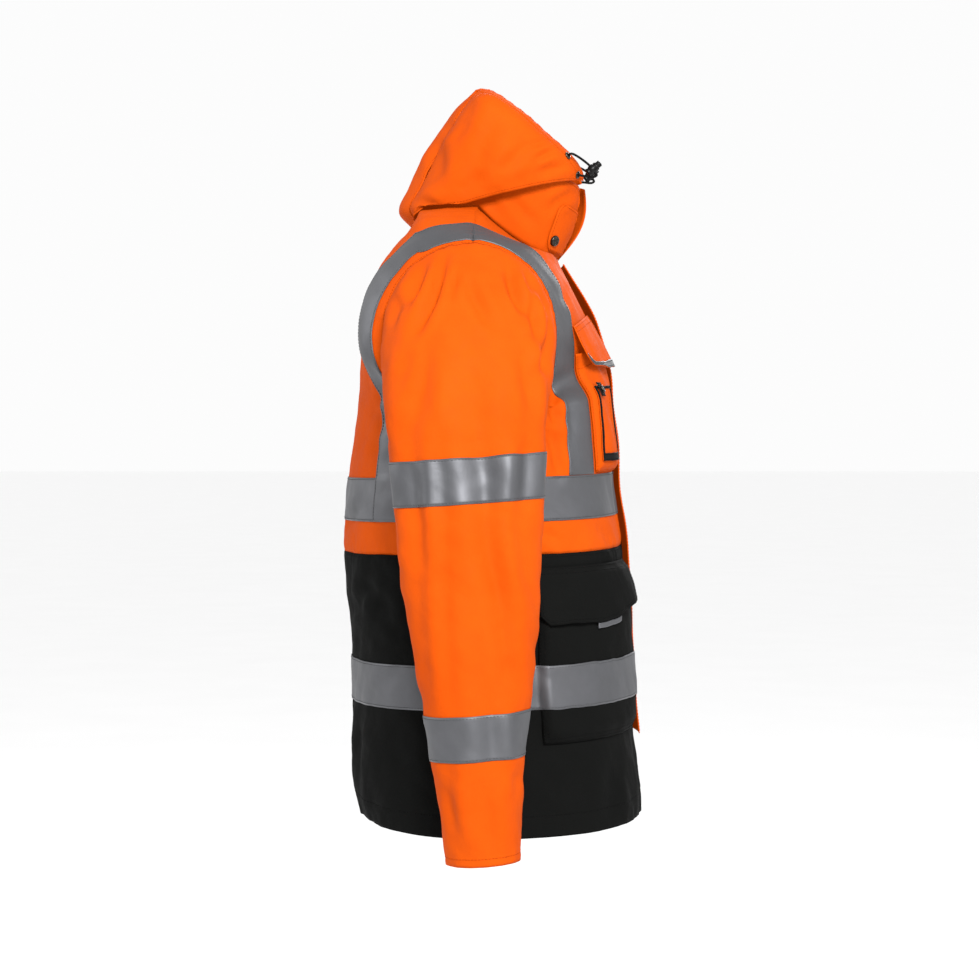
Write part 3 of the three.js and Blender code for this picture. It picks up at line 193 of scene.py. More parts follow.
@dataclass(frozen=True)
class Crease:
    """A trough pressed into the cloth along a bowed line, with raised shoulders on both sides.

    u and z place its ends as seen from its face. Depth is negative for a ridge.
    """

    face: Face
    u0: float
    z0: float
    u1: float
    z1: float
    width: float
    depth: float
    bow: float = 0.0
    lean: float = 0.0

    def press(self, points: Array, normals: Array) -> Array:
        """How far the crease moves points along their normals.

        Args:
            points: the cloth's points, in millimetres.
            normals: its outward normals.

        Returns:
            A height for each point.
        """
        direction, axis = self.face.value
        u, z = points[..., axis], points[..., 2]
        du, dz = self.u1 - self.u0, self.z1 - self.z0
        long = math.hypot(du, dz)
        t = np.clip(((u - self.u0) * du + (z - self.z0) * dz) / long ** 2, 0, 1)
        bow = self.bow * np.sin(math.pi * t)
        across = ((u - self.u0) * dz - (z - self.z0) * du) / long - bow
        past = np.hypot(u - self.u0 - t * du, z - self.z0 - t * dz)
        away = np.where((t > 0) & (t < 1), np.abs(across), past) / self.width
        trough = np.exp(-away ** 2) * (1 + self.lean * np.tanh(across / self.width))
        shoulder = 0.42 * np.exp(-((away - 2.0) / 0.9) ** 2)
        fade = np.sin(math.pi * np.clip(t, 0.02, 0.98)) ** 0.6
        facing = smooth((normals @ np.array(direction, float) - 0.05) / 0.45)
        return self.depth * (shoulder - trough) * fade * facing


def creases(face: Face, *rows: Sequence[float]) -> list[Crease]:
    """Creases of one face from rows of u0, z0, u1, z1, width, depth, bow and lean."""
    return [Crease(face, *row) for row in rows]


def flipped(lines: Iterable[Crease], face: Face, shift: float, drop: float, share: float) -> list[Crease]:
    """Similar creases for a hidden side: moved, and a little weaker, each by its own amount.

    Args:
        lines: the creases to repeat.
        face: the face that they go on.
        shift: how far they move along the face.
        drop: how far they move down.
        share: their depth as a share of the first ones'.

    Returns:
        The new creases.
    """
    result = []
    for k, line in enumerate(lines):
        own = math.sin(2.3 * k + 0.7)
        result.append(Crease(
            face,
            line.u0 + shift * own, line.z0 - drop * (1 + own) / 2,
            line.u1 + shift * math.sin(1.7 * k), line.z1 - drop * (1 - own) / 2,
            line.width * (1 + 0.2 * own), line.depth * share * (1 - 0.25 * own), -line.bow, line.lean,
        ))
    return result


def undulation(points: Array, size: float, height: float, phase: float) -> Array:
    """Soft unevenness of hanging cloth.

    Args:
        points: the cloth's points.
        size: length of its waves.
        height: how high they are.
        phase: where they start.

    Returns:
        A height for each point.
    """
    x, y, z = (points[..., k] * (2 * math.pi / size) for k in range(3))
    waves = (
        np.sin(0.83 * x + 0.51 * y + 0.34 * z + phase)
        * np.sin(0.29 * x - 0.73 * y + 0.61 * z + 1.9 * phase)
        + 0.6 * np.sin(1.7 * z - 1.1 * y + 0.9 * x + 0.4 * phase) * np.sin(1.3 * x + 0.8 * y - 0.7 * z)
    )
    return height * waves


# Creases that the right side shows, and the ones of the sides that it hides
ARM_CREASES = creases(
    Face.RIGHT,
    (-66, -87, -73, -163, 5, 4.2, 2, 0.3),
    (-58, -128, -68, -176, 4.5, 3.8, 1, 0.3),
    (-69, -174, -76, -228, 5.5, 4.2, 1, 0.3),
    (-46, -64, -57, -112, 4.5, 4, -1, 0),
    (83, -150, 96, -200, 7, 3.6, 1, 0.2),
    (30, -58, 40, -96, 5, 3.6, 1, 0),
    (67, -56, 90, -102, 6, 7.4, 2, 0.3),
    (44, -44, 80, -138, 5.5, 8.8, 5, 0.4),
    (95, -88, 104, -128, 6, 5.4, 0, 0),
    (-24, -60, -50, -118, 6, 9.5, -3, 0.4),
    (20, -70, -10, -128, 7, 5.4, -3, 0),
    (-53, -76, -70, -108, 4.5, 6.2, 2, 0.3),
    (-66, -74, -78, -102, 4, 5.4, 0, 0),
    (-54, -98, -55, -146, 5, 6.8, 1, 0.3),
    (-72, -132, -60, -180, 7, 8.1, 3, 0.4),
    (-40, -150, -52, -236, 8, 4.9, 2, 0),
    (62, -140, 90, -262, 12, 5.5, 4, 0),
    (20, -160, 5, -300, 16, 5.8, 3, 0),
    (6, -256, -4, -380, 12, 5.2, 1, 0),
    (62, -230, 48, -560, 8, -4.2, -2, 0),
    (80, -250, 64, -400, 11, 4.5, -2, 0),
    (-47, -240, -44, -330, 8, 4.5, 0, 0.2),
    (-26, -250, -22, -330, 9, -3.2, 0, 0),
    (-2, -366, -20, -462, 10, 5.0, 2, 0.4),
    (-18, -440, -26, -520, 9, 4.4, 0, 0.2),
    (-18, -326, -40, -428, 9, -4.0, -2, 0),
    (-36, -416, -52, -448, 8, -3.2, 0, 0),
    (30, -330, 18, -560, 15, -2.8, 0, 0),
    (-4, -520, -8, -640, 10, 3.0, 0, 0),
    (24, -590, 24, -676, 8, -3.6, 1, 0),
    (47, -622, 32, -676, 7, 3.4, 0, 0.3),
    (2, -612, -6, -690, 9, 3.2, 0, 0.2),
    (-34, -606, -40, -634, 6, 2.8, 0, 0),
    (-24, -540, -30, -600, 8, -2.4, 0, 0),
)
FLANK_CREASES = creases(
    Face.RIGHT,
    (-76, -196, -80, -232, 5, 5.0, 0, 0.3),
    (-70, -236, -84, -292, 6, 6.0, 2, 0.3),
    (-84, -206, -90, -250, 5, -3.0, 1, 0),
    (-64, -350, -82, -366, 5, 2.8, 0, 0),
    (136, -134, 118, -204, 8, -3.2, 2, 0),
    (122, -250, 128, -272, 6, 3.0, 0, 0),
    (148, -415, 108, -450, 9, 3.6, 3, 0.3),
    (120, -456, 92, -468, 7, 2.8, 0, 0),
    (118, -560, 92, -660, 16, 3.2, 4, 0),
    (20, -560, -10, -680, 20, 3.0, -4, 0),
    (60, -390, 70, -480, 16, 3.0, 3, 0),
)
FRONT_CREASES = creases(
    Face.FRONT,
    (-200, -205, -176, -232, 7, 2.2, 3, 0.3),
    (-200, -236, -180, -270, 7, 2.0, -2, 0.2),
    (-168, -94, -120, -76, 9, 2.6, 3, 0),
    (-110, -58, -70, -50, 7, 2.2, 0, 0),
    (-60, -300, -48, -372, 9, 2.6, 2, 0),
    (-150, -345, -110, -372, 9, 2.6, 2, 0),
    (192, -204, 146, -236, 8, 4.6, -3, 0.3),
    (194, -230, 160, -272, 7, 3.4, 2, 0.2),
    (150, -120, 96, -190, 13, 3.0, 6, 0.2),
    (120, -96, 70, -130, 10, 2.4, 3, 0),
    (84, -210, 60, -285, 11, 2.6, 4, 0),
    (150, -342, 100, -370, 9, 2.6, -2, 0),
    (58, -620, 52, -688, 12, 3.4, 2, 0),
    (-60, -614, -54, -690, 12, 3.0, -2, 0),
    (150, -612, 168, -690, 14, 3.6, 2, 0),
    (-150, -616, -170, -690, 14, 3.6, -2, 0),
)
BACK_CREASES = creases(
    Face.BACK,
    (-188, -150, -150, -214, 9, 4.4, 4, 0.3),
    (-196, -204, -150, -250, 8, 3.8, -3, 0.2),
    (-120, -90, -60, -150, 15, 3.0, 6, 0),
    (-30, -60, 40, -74, 11, 2.4, 3, 0),
    (-140, -330, -60, -352, 10, 3.0, 3, 0.2),
    (-176, -395, -110, -440, 10, 4.2, 4, 0.3),
    (-150, -440, -70, -452, 9, 3.2, -3, 0),
    (-110, -560, -96, -686, 16, 3.6, 3, 0),
    (-20, -570, -30, -690, 18, 3.2, -3, 0),
    (192, -146, 144, -220, 9, 4.8, -4, 0.3),
    (186, -210, 130, -268, 9, 3.6, 3, 0.2),
    (110, -100, 50, -140, 14, 2.8, -5, 0),
    (60, -210, 110, -280, 13, 2.8, 4, 0),
    (170, -390, 104, -446, 10, 4.4, -4, 0.3),
    (120, -452, 30, -466, 9, 3.0, 3, 0),
    (96, -566, 108, -688, 16, 3.8, -3, 0),
    (30, -590, 24, -690, 14, 2.8, 2, 0),
)
LEFT_ARM_CREASES = flipped(ARM_CREASES, Face.LEFT, 7, 16, 0.95)
LEFT_FLANK_CREASES = flipped(FLANK_CREASES, Face.LEFT, 8, 12, 0.95)
INNER_ARM_CREASES = flipped(ARM_CREASES[15:], Face.LEFT, 9, 14, 0.7)
LEFT_INNER_ARM_CREASES = flipped(ARM_CREASES[14:], Face.RIGHT, 6, 20, 0.7)
ARM_FRONT_CREASES = creases(
    Face.FRONT,
    (-236, -250, -290, -300, 9, 2.1, 3, 0.3),
    (-240, -330, -300, -372, 10, 1, 3, 0.3),
    (-246, -420, -310, -404, 10, 0.81, -3, 0),
    (-258, -500, -316, -470, 10, 1.7, 3, 0),
    (-262, -640, -312, -610, 8, 1.4, 2, 0),
    (238, -262, 296, -306, 9, 2.1, -3, 0.3),
    (240, -344, 302, -380, 10, 0.99, -3, 0.3),
    (248, -436, 308, -410, 10, 0.81, 3, 0),
    (260, -520, 316, -486, 10, 1.6, -3, 0),
)
ARM_BACK_CREASES = creases(
    Face.BACK,
    (-240, -210, -300, -270, 11, 2.2, 4, 0.3),
    (-246, -370, -320, -400, 11, 1, 4, 0.3),
    (-250, -430, -318, -424, 10, 0.9, -3, 0.2),
    (-262, -560, -320, -520, 10, 1.6, 3, 0),
    (244, -220, 306, -284, 11, 2.2, -4, 0.3),
    (248, -384, 320, -408, 11, 1, -4, 0.3),
    (252, -446, 318, -436, 10, 0.85, 3, 0.2),
    (262, -600, 318, -560, 10, 1.5, -3, 0),
)
COLLAR_CREASES = creases(
    Face.RIGHT,
    (-112, 44, -72, 16, 5, 3.2, -3, 0.4),
    (-60, 2, -30, 34, 6, 2.2, 2, 0),
    (-20, 6, 6, 40, 6, 2.0, -2, 0),
)
HOOD_CREASES = creases(
    Face.RIGHT,
    (66, 116, 54, 50, 8, 4.6, 4, 0.2),
    (-18, 128, 16, 44, 11, 4.2, -5, 0),
    (40, 132, 58, 96, 6, 3.4, 2, 0.2),
    (-52, 96, -16, 60, 7, 3.0, 3, 0),
    (-84, 90, -58, 74, 4, 2.4, 0, 0.3),
    (-76, 98, -48, 90, 4, 2.0, 0, 0),
    (-96, 72, -60, 58, 5, 2.4, 0, 0.3),
    (14, 150, 30, 104, 9, 2.6, 2, 0),
    (86, 30, 56, 18, 6, 2.4, 2, 0.3),
    (-4, 60, 40, 36, 8, 2.2, 2, 0),
)
CREASES_BY_PART = {
    "body": FLANK_CREASES + LEFT_FLANK_CREASES + FRONT_CREASES + BACK_CREASES,
    "sleeve_right": ARM_CREASES + INNER_ARM_CREASES + ARM_FRONT_CREASES + ARM_BACK_CREASES,
    "sleeve_left": LEFT_ARM_CREASES + LEFT_INNER_ARM_CREASES + ARM_FRONT_CREASES + ARM_BACK_CREASES,
    "collar": COLLAR_CREASES + flipped(COLLAR_CREASES, Face.LEFT, 5, 4, 1.0),
    "hood": HOOD_CREASES + flipped(HOOD_CREASES, Face.LEFT, 6, 5, 0.95),
}


class BodyForm:
    """The body's right half, row by row: each row is a curve from the centre line or neck outwards."""

    STEPS = 160
    neck_top = {Side.FRONT: FRONT_NECK_Z, Side.BACK: BACK_NECK_Z}

    def __init__(self) -> None:
        """Starts with no rows worked out."""
        self.rows: dict[tuple[float, Side], tuple[Array, Array]] = {}

    @staticmethod
    def armhole(turn: float | Array, side: Side) -> Array:
        """Points of the armhole seam, from the armpit at 0 to the shoulder at pi."""
        turn = np.asarray(turn, float)
        z = -122 - 92 * np.cos(turn)
        deep = -90.0 if side is Side.FRONT else 98.0
        bow = 12 * ((z + 122) / 92) ** 2
        return np.stack([-203 - bow, 14 + deep * np.sin(turn), z], axis=-1)

    def neckline(self, turn: float | Array, side: Side) -> Array:
        """Points of the neck seam, from the centre at 0 to the side at 1."""
        turn = np.asarray(turn, float)
        angle = turn * math.pi / 2
        z = self.neck_top[side]
        column = "front" if side is Side.FRONT else "back"
        y = side.value * float(BODY.read(column, z))
        rise = 2.6 if side is Side.FRONT else 1.6
        level = SIDE_Y + (y - SIDE_Y) * np.cos(angle)
        return np.stack([-78 * np.sin(angle), level, mix(z, 22, turn ** rise)], -1)

    def row_top(self, side: Side) -> float:
        """The row value of the shoulder seam."""
        return self.neck_top[side] + NECK_SPAN

    def ends(self, row: float, side: Side) -> tuple[Array, Array, Array, Array]:
        """The four control points of a row's curve."""
        sign = side.value
        share = float(np.clip((row - ARMPIT_Z) / (self.row_top(side) - ARMPIT_Z), 0, 1))
        neck = float(np.clip((row - self.neck_top[side]) / NECK_SPAN, 0, 1))
        z = min(row, self.neck_top[side])
        lowest = mix(-0.055, 0.022, smooth((row - HEM_Z) / 80)) if side is Side.BACK else 0.022
        tilt = lowest * float(np.clip((ARMPIT_Z + 65 - row) / 65, 0, 1))
        centre = sign * float(BODY.read("front" if side is Side.FRONT else "back", z))
        half = float(BODY.read("half", z))
        start = self.neckline(neck, side) if neck > 0 else np.array([0, centre, z - tilt * centre])
        end = self.armhole(math.pi * share, side) if share > 0 else np.array([-half, SIDE_Y, z - tilt * SIDE_Y])
        across = float(np.linalg.norm(end - start))
        leaving = float(smooth(share / 0.28))
        shoulder = float(smooth((share - 0.3) / 0.7))
        arm_way = np.array([-0.9, 0.42, 0]) if side is Side.FRONT else np.array([-0.45, -0.88, 0])
        shoulder_way = unit(np.array([-1, 0.04, -0.62]))
        neck_way = unit(np.array([-1, 0.04, -0.2]))
        end_way = unit(mix(unit(mix(np.array([0, -sign, 0.0]), arm_way, leaving)), shoulder_way, shoulder))
        start_way = unit(mix(np.array([-1, 0, 0.0]), neck_way, float(smooth(neck))))
        depth = abs(end[1] - start[1])
        arm_reach = 60.0 if side is Side.FRONT else 68.0
        end_reach = mix(mix(0.66 * depth, arm_reach, leaving), across / 3, shoulder)
        start_reach = mix(half * mix(0.66, 0.53, leaving), across / 3, float(smooth(neck)))
        return start, start + start_way * start_reach, end - end_way * end_reach, end

    def row(self, row: float, side: Side) -> tuple[Array, Array]:
        """A row's points and their distances over the cloth from its start."""
        key = (round(float(row), 4), side)
        if key not in self.rows:
            a, b, c, d = self.ends(float(row), side)
            t = np.linspace(0, 1, self.STEPS + 1)[:, None]
            points = a * (1 - t) ** 3 + b * 3 * t * (1 - t) ** 2 + c * 3 * t * t * (1 - t) + d * t ** 3
            steps = np.linalg.norm(np.diff(points, axis=0), axis=1)
            self.rows[key] = points, np.concatenate([[0], np.cumsum(steps)])
        return self.rows[key]

    def length(self, row: float, side: Side) -> float:
        """The row's whole length over the cloth."""
        return float(self.row(row, side)[1][-1])

    def at(self, row: float, side: Side, distance: Array) -> Array:
        """Points of a row at distances from its start."""
        points, along = self.row(row, side)
        return np.stack([np.interp(distance, along, points[:, k]) for k in range(3)], axis=-1)

    def normal(self, row: float, side: Side, distance: Array) -> Array:
        """Outward normals of a row at distances from its start."""
        across = self.at(row, side, distance + 2) - self.at(row, side, distance - 2)
        up = self.at(row + 2, side, distance) - self.at(row - 2, side, distance)
        normal = unit(np.cross(across, up))
        level = self.at(row, side, distance) * np.array([1, 1, 0])
        return normal * np.where(np.sum(normal * level, axis=-1, keepdims=True) < 0, -1, 1)

    def brace(self, row: float, side: Side) -> tuple[float, float]:
        """Distances of the brace's inner and outer edge on a row."""
        table = BRACE_FRONT if side is Side.FRONT else BRACE_BACK
        outer = min(self.length(row, side) - BRACE_INSET, float(table.read("outer", row)))
        return outer - TAPE_WIDTH, outer

    def sewn_brace(self, row: float, side: Side) -> float:
        """Distance of the brace's outer edge as it is sewn: drawn in, and eased towards the seam."""
        table = BRACE_FRONT if side is Side.FRONT else BRACE_BACK
        limits = np.array([self.length(row, side) - BRACE_INSET, float(table.read("outer", row))])
        least = float(limits.min())
        eased = -BRACE_EASE * math.log(float(np.exp(-(limits - least) / BRACE_EASE).sum())) + least
        return eased - float(BRACE_DRAWN.read(side.name.lower(), row))

    def chest_scale(self, row: float) -> float:
        """How far the chest's columns are drawn in on a row, to clear the brace."""
        return min(1.0, self.brace(row, Side.FRONT)[0] / CHEST_SCALE)

    def pocket_scale(self, row: float) -> float:
        """The same for the chest pocket and its flap, which keep beside the sewn brace."""
        return self.chest_scale(row) - 0.9 * float(BRACE_DRAWN.read("front", row)) / CHEST_SCALE


FORM = BodyForm()


@dataclass
class Grid:
    """A cloth surface as rows and columns of points, in millimetres, with outward normals.

    `rows` gives each row's value, and `near` and `far` the distances of its first and last column.
    """

    points: Array
    inside: Sequence[float]
    rows: Array
    near: Array
    far: Array
    closed: bool = False
    level_middle: float | None = None
    normals: Array = field(init=False)
    turned: bool = field(init=False, default=False)
    smooth_area: float = field(init=False, default=0.0)

    def __post_init__(self) -> None:
        """Works out the normals and which way the faces have to turn."""
        self.normals = self.raw_normals()
        middle = tuple(n // 2 for n in self.points.shape[:2])
        outward = self.normals[middle] @ (self.points[middle] - np.array(self.inside, float))
        self.turned = bool(outward < 0)
        self.orient()
        self.smooth_area = self.area()

    def raw_normals(self) -> Array:
        """Normals from the points on either side, as the grid runs."""
        if self.closed:
            ring = self.points[:, :-1]
            across = np.roll(ring, -1, axis=1) - np.roll(ring, 1, axis=1)
            across = np.concatenate([across, across[:, :1]], axis=1)
        else:
            across = np.gradient(self.points, axis=1)
        return unit(np.cross(across, np.gradient(self.points, axis=0)))

    def orient(self) -> None:
        """Turns the normals outwards, and keeps those of a shared middle column in its plane."""
        if self.turned:
            self.normals = -self.normals
        if self.level_middle is not None:
            shared = self.rows <= self.level_middle + 1e-6
            self.normals[shared, 0, 0] = 0
            self.normals = unit(self.normals)

    def area(self) -> float:
        """The surface's area in square metres."""
        a, b = self.points[:-1, :-1], self.points[:-1, 1:]
        c, d = self.points[1:, 1:], self.points[1:, :-1]
        halves = np.cross(b - a, c - a), np.cross(c - a, d - a)
        return float(sum(np.linalg.norm(h, axis=-1).sum() for h in halves)) / 2 * MM * MM

    def size(self) -> tuple[float, float]:
        """Greatest width and height over the cloth, in metres."""
        wide = np.linalg.norm(np.diff(self.points, axis=1), axis=-1).sum(axis=1).max()
        high = np.linalg.norm(np.diff(self.points, axis=0), axis=-1).sum(axis=0).max()
        return float(wide) * MM, float(high) * MM

    def mirrored(self) -> "Grid":
        """The same grid on the other side of the body."""
        flip = np.array([-1.0, 1, 1])
        inside = (-self.inside[0], *self.inside[1:])
        return Grid(self.points * flip, inside, self.rows, self.near, self.far, self.closed, self.level_middle)

    def copied(self) -> "Grid":
        """The same grid again, to be pressed on its own."""
        return Grid(self.points, self.inside, self.rows, self.near, self.far, self.closed, self.level_middle)

    def pressed(self, height: Array) -> "Grid":
        """The grid with its points moved along the normals by heights."""
        flat = self.smooth_area
        self.points = self.points + self.normals * height[..., None]
        self.normals = self.raw_normals()
        self.orient()
        self.smooth_area = flat
        return self

    def creased(self, part: str, wave: float = 0.7, phase: float = 0.0) -> "Grid":
        """The grid with a part's creases and soft waves pressed in."""
        height = undulation(self.points, 95, wave, phase) + undulation(self.points, 37, 0.32 * wave, phase + 2)
        for line in CREASES_BY_PART[part]:
            height = height + line.press(self.points, self.normals)
        return self.pressed(height)

    def place(self, row: Array, distance: Array) -> tuple[Array, Array]:
        """Fractional row and column of places on the cloth."""
        r = np.interp(row, self.rows, np.arange(len(self.rows)))
        near = np.interp(row, self.rows, self.near)
        far = np.interp(row, self.rows, self.far)
        c = (distance - near) / (far - near) * (self.points.shape[1] - 1)
        return r, np.clip(c, 0, self.points.shape[1] - 1)

    def sample(self, row: Array, distance: Array, lift: float | Array = 0.0) -> tuple[Array, Array]:
        """Points and normals of places on the cloth.

        Args:
            row: row values.
            distance: distances from the row's start.
            lift: heights over the cloth.

        Returns:
            The points, raised by the lift, and the normals.
        """
        row, distance = np.broadcast_arrays(np.asarray(row, float), np.asarray(distance, float))
        r, c = self.place(row, distance)
        r0 = np.minimum(r.astype(int), self.points.shape[0] - 2)
        c0 = np.minimum(c.astype(int), self.points.shape[1] - 2)
        fr, fc = (r - r0)[..., None], (c - c0)[..., None]

        def between(field_: Array) -> Array:
            """A value between the four corners of a cell."""
            low = mix(field_[r0, c0], field_[r0, c0 + 1], fc)
            high = mix(field_[r0 + 1, c0], field_[r0 + 1, c0 + 1], fc)
            return mix(low, high, fr)

        normals = unit(between(self.normals))
        lift = np.broadcast_to(np.asarray(lift, float), row.shape)
        return between(self.points) + normals * lift[..., None], normals

    def patch(
        self,
        rows: Array,
        near: Callable[[float], float],
        far: Callable[[float], float],
        columns: int,
        lift: Callable[[Array, Array], Array],
    ) -> "Grid":
        """A grid that lies on part of this one.

        Args:
            rows: its row values.
            near: distance of its first column on a row.
            far: distance of its last column on a row.
            columns: how many columns it has.
            lift: its height over this grid, from rows and distances.

        Returns:
            The new grid.
        """
        share = np.linspace(0, 1, columns)
        low = np.array([near(r) for r in rows])
        high = np.array([far(r) for r in rows])
        distance = mix(low[:, None], high[:, None], share[None, :])
        row = np.repeat(np.asarray(rows, float)[:, None], columns, axis=1)
        points, _ = self.sample(row, distance, lift(row, distance))
        return Grid(points, self.inside, np.asarray(rows, float), low, high, False, self.level_middle)


def body_grid(side: Side, low: float, high: float, near: Callable[[float], float], columns: int) -> Grid:
    """A grid over part of the body's right half.

    Args:
        side: front or back.
        low: its lowest row.
        high: its highest row.
        near: distance of its first column on a row.
        columns: how many columns it has.

    Returns:
        The smooth grid, about 4 mm fine.
    """
    neck = FORM.neck_top[side]
    rows = np.linspace(low, min(high, neck), max(2, round((min(high, neck) - low) / 4.0)))
    if high > neck:
        rows = np.concatenate([rows, np.linspace(neck, high, 19)[1:]])
    first = np.array([near(r) for r in rows])
    last = np.array([FORM.length(r, side) - HALF_GAP for r in rows])
    share = np.linspace(0, 1, columns)
    points = np.stack([FORM.at(r, side, mix(a, b, share)) for r, a, b in zip(rows, first, last)])
    middle = (0.0, 0.0, float(rows[len(rows) // 2]))
    return Grid(points, middle, rows, first, last, level_middle=neck if side is Side.BACK else None)


def front_near(row: float) -> float:
    """Distance of the upper front's first column: beside the zip, and at the neck seam above it."""
    if row > FRONT_NECK_Z:
        return HALF_GAP
    return (ZIP_HALF + SEAM_GAP) * FORM.chest_scale(row)


# How far the sleeve's cap and the hood's centre panel reach under the cloth beside them
CAP_TUCK = 0.9
HOOD_TUCK = 1.4
CAP_TOP = -110.0
CAP_FOOT = -250.0
CUFF_Z = -711.0
UPPER_BAND_TOP = -268.0
SLEEVE_BAND_TOP = -546.0


def sleeve_ring(turn: Array, z: float) -> Array:
    """Points of the right sleeve's ring at a height; turn 0 is the inner side and pi / 2 the front."""
    inner, outer, back, front = (float(SLEEVE.read(name, z)) for name in ("inner", "outer", "back", "front"))

    def power(value: Array) -> Array:
        """A slightly squared circle."""
        return np.sign(value) * np.abs(value) ** 0.94

    x = -(inner + outer) / 2 + (outer - inner) / 2 * power(np.cos(turn))
    y = (back - front) / 2 - (back + front) / 2 * power(np.sin(turn))
    return np.stack([x, y, z - 0.07 * (y - 15)], axis=-1)


def cap_ring(turn: Array, t: float) -> Array:
    """Points of the sleeve's cap, from the armhole seam at t 0 into the first ring at t 1."""
    front = FORM.armhole(turn, Side.FRONT)
    back = FORM.armhole(2 * math.pi - turn, Side.BACK)
    seam = np.where((turn <= math.pi)[:, None], front, back)
    top = (1 - np.cos(turn)) / 2
    away = unit(np.stack([mix(-0.3, -0.84, top), -0.25 * np.sin(turn), mix(-1, -0.54, top)], axis=-1))
    reach = mix(26, 230, top)[:, None]
    ring = sleeve_ring(turn, CAP_FOOT)
    down = np.array([0, 0, -1.0]) * reach
    return (
        (seam - away * CAP_TUCK) * (1 + 2 * t) * (1 - t) ** 2 + away * reach * t * (1 - t) ** 2
        + ring * t * t * (3 - 2 * t) + down * t * t * (t - 1)
    )


def sleeve_grid() -> Grid:
    """The right sleeve as a closed grid; its rows run from the cuff up into the cap."""
    turn = np.linspace(0, 2 * math.pi, 137)
    rows = np.concatenate([np.linspace(CUFF_Z, CAP_FOOT, 116), np.linspace(CAP_FOOT, CAP_TOP, 46)[1:]])
    rings = [
        sleeve_ring(turn, r) if r <= CAP_FOOT else cap_ring(turn, 1 - (r - CAP_FOOT) / (CAP_TOP - CAP_FOOT))
        for r in rows
    ]
    points = np.stack(rings)
    points[:, -1] = points[:, 0]
    degrees = np.full(len(rows), 360.0)
    return Grid(points, (-290, 15, -480), rows, 0 * degrees, degrees, closed=True)


def collar_point(way: float, high: Array, right_end: float, left_end: float) -> Array:
    """Points up the collar.

    Args:
        way: 0 at the right front, 2 behind and 4 at the left front.
        high: shares of its height.
        right_end: least distance of the right part from the middle.
        left_end: the same for the left part.

    Returns:
        The points.
    """
    left = way > 2
    round_ = 4 - way if left else way
    front = round_ <= 1
    turn = round_ if front else 2 - round_
    base = FORM.neckline(turn, Side.FRONT if front else Side.BACK) + np.array([0, 0, 0.4])
    angle = turn * math.pi / 2
    top_y = mix(0, -114 if front else 54, math.cos(angle))
    top_z = mix(48 if front else 94, 82, turn ** 1.3)
    top = np.array([-84 * math.sin(angle), top_y, top_z])
    points = base + (top - base) * high[:, None]
    if front:
        points[:, 1] -= 6 * np.sin(math.pi * high) * math.cos(angle)
    if way != 2:
        points[:, 0] = np.minimum(points[:, 0], -(left_end if left else right_end))
    if left:
        k = float(np.interp(round_, [0, 0.16, 0.4, 0.7], [0, 1, 2, 3]))
        points[:, 0] *= -1
        forward = 6 * np.sqrt(high) + 7 * np.sin(math.pi * high)
        points[:, 1] -= forward * (1 - smooth(k / 3))
    return points


def collar_grid() -> Grid:
    """The collar as one strip from the right front round to the left front."""
    high = np.linspace(0, 1, 22)
    ways = np.linspace(0, 4, 161)
    points = np.stack([collar_point(float(w), high, 5.0, 8.0) for w in ways], axis=1)
    return Grid(points, (0, 0, 20), high, 0 * high, 0 * high + 4.0)


HOOD_SEAM_HALF = 40.0


def hood_row(step: float) -> tuple[Array, Array, Array, float, float]:
    """Back outline, face edge, way in, inset and width of the hood on a row."""
    back = np.array([0, HOOD.read("backY", step), HOOD.read("backZ", step)], float)
    edge = np.array([-HOOD.read("edgeHalf", step), HOOD.read("edgeY", step), HOOD.read("edgeZ", step)], float)
    inward = unit(np.array([0, edge[1] - back[1], edge[2] - back[2]]))
    return back, edge, inward, float(HOOD.read("inset", step)), float(HOOD.read("wide", step))


def hood_side_row(step: float, along: Array) -> Array:
    """Points of the right side panel, from the back seam at 0 to the face edge at 1."""
    back, edge, inward, inset, wide = hood_row(step)
    seam = back + inward * inset
    seam[0] = -HOOD_SEAM_HALF - HALF_GAP
    out = -(wide + (seam[0] + edge[0]) / 8) / 0.75
    first = mix(seam, edge, 0.04 + 0.1 * float(smooth(step / 0.45)))
    second = mix(seam, edge, 0.84)
    first[0] = second[0] = out
    t = along[:, None]
    points = seam * (1 - t) ** 3 + first * 3 * t * (1 - t) ** 2 + second * 3 * t * t * (1 - t) + edge * t ** 3
    points[:, 2] += 5 * np.sin(math.pi * along) * (1 - smooth(step / 0.2))
    return points


def hood_centre_row(step: float, across: Array) -> Array:
    """Points of the centre panel, with across from -1 at the right seam to 1 at the left."""
    half = HOOD_SEAM_HALF + HOOD_TUCK
    if step > 1:
        y = np.interp(step, [1, 1.1, 1.2], [14, 5, -6])
        z = np.interp(step, [1, 1.1, 1.2], [161, 167, 165])
        seam_z = np.interp(step, [1, 1.1, 1.2], [161.2, 161.6, 162])
        return np.stack([across * half, 0 * across + y, mix(z, seam_z, across ** 2)], axis=-1)
    back, _, inward, inset, _ = hood_row(step)
    points = back + inward * (inset * across ** 2)[:, None]
    points[:, 0] = across * half
    return points


def clear_of(points: Array, grids: Sequence[Grid], clear: Array) -> Array:
    """Points moved out until they lie clear of other cloth.

    Args:
        points: the points.
        grids: the cloth underneath.
        clear: the height that each point has to keep over it.

    Returns:
        The moved points.
    """
    places = np.concatenate([g.points.reshape(-1, 3) for g in grids])
    ways = np.concatenate([g.normals.reshape(-1, 3) for g in grids])
    tree = KDTree(len(places))
    for i, place in enumerate(places):
        tree.insert(place, i)
    tree.balance()
    result = points.copy()
    for index in np.ndindex(points.shape[:2]):
        point = points[index]
        found = tree.find_n(point, 4)
        height = np.mean([(point - places[i]) @ ways[i] for _, i, _ in found])
        way = unit(np.mean([ways[i] for _, i, _ in found], axis=0))
        if height < clear[index]:
            result[index] = point + way * (clear[index] - height)
    return result


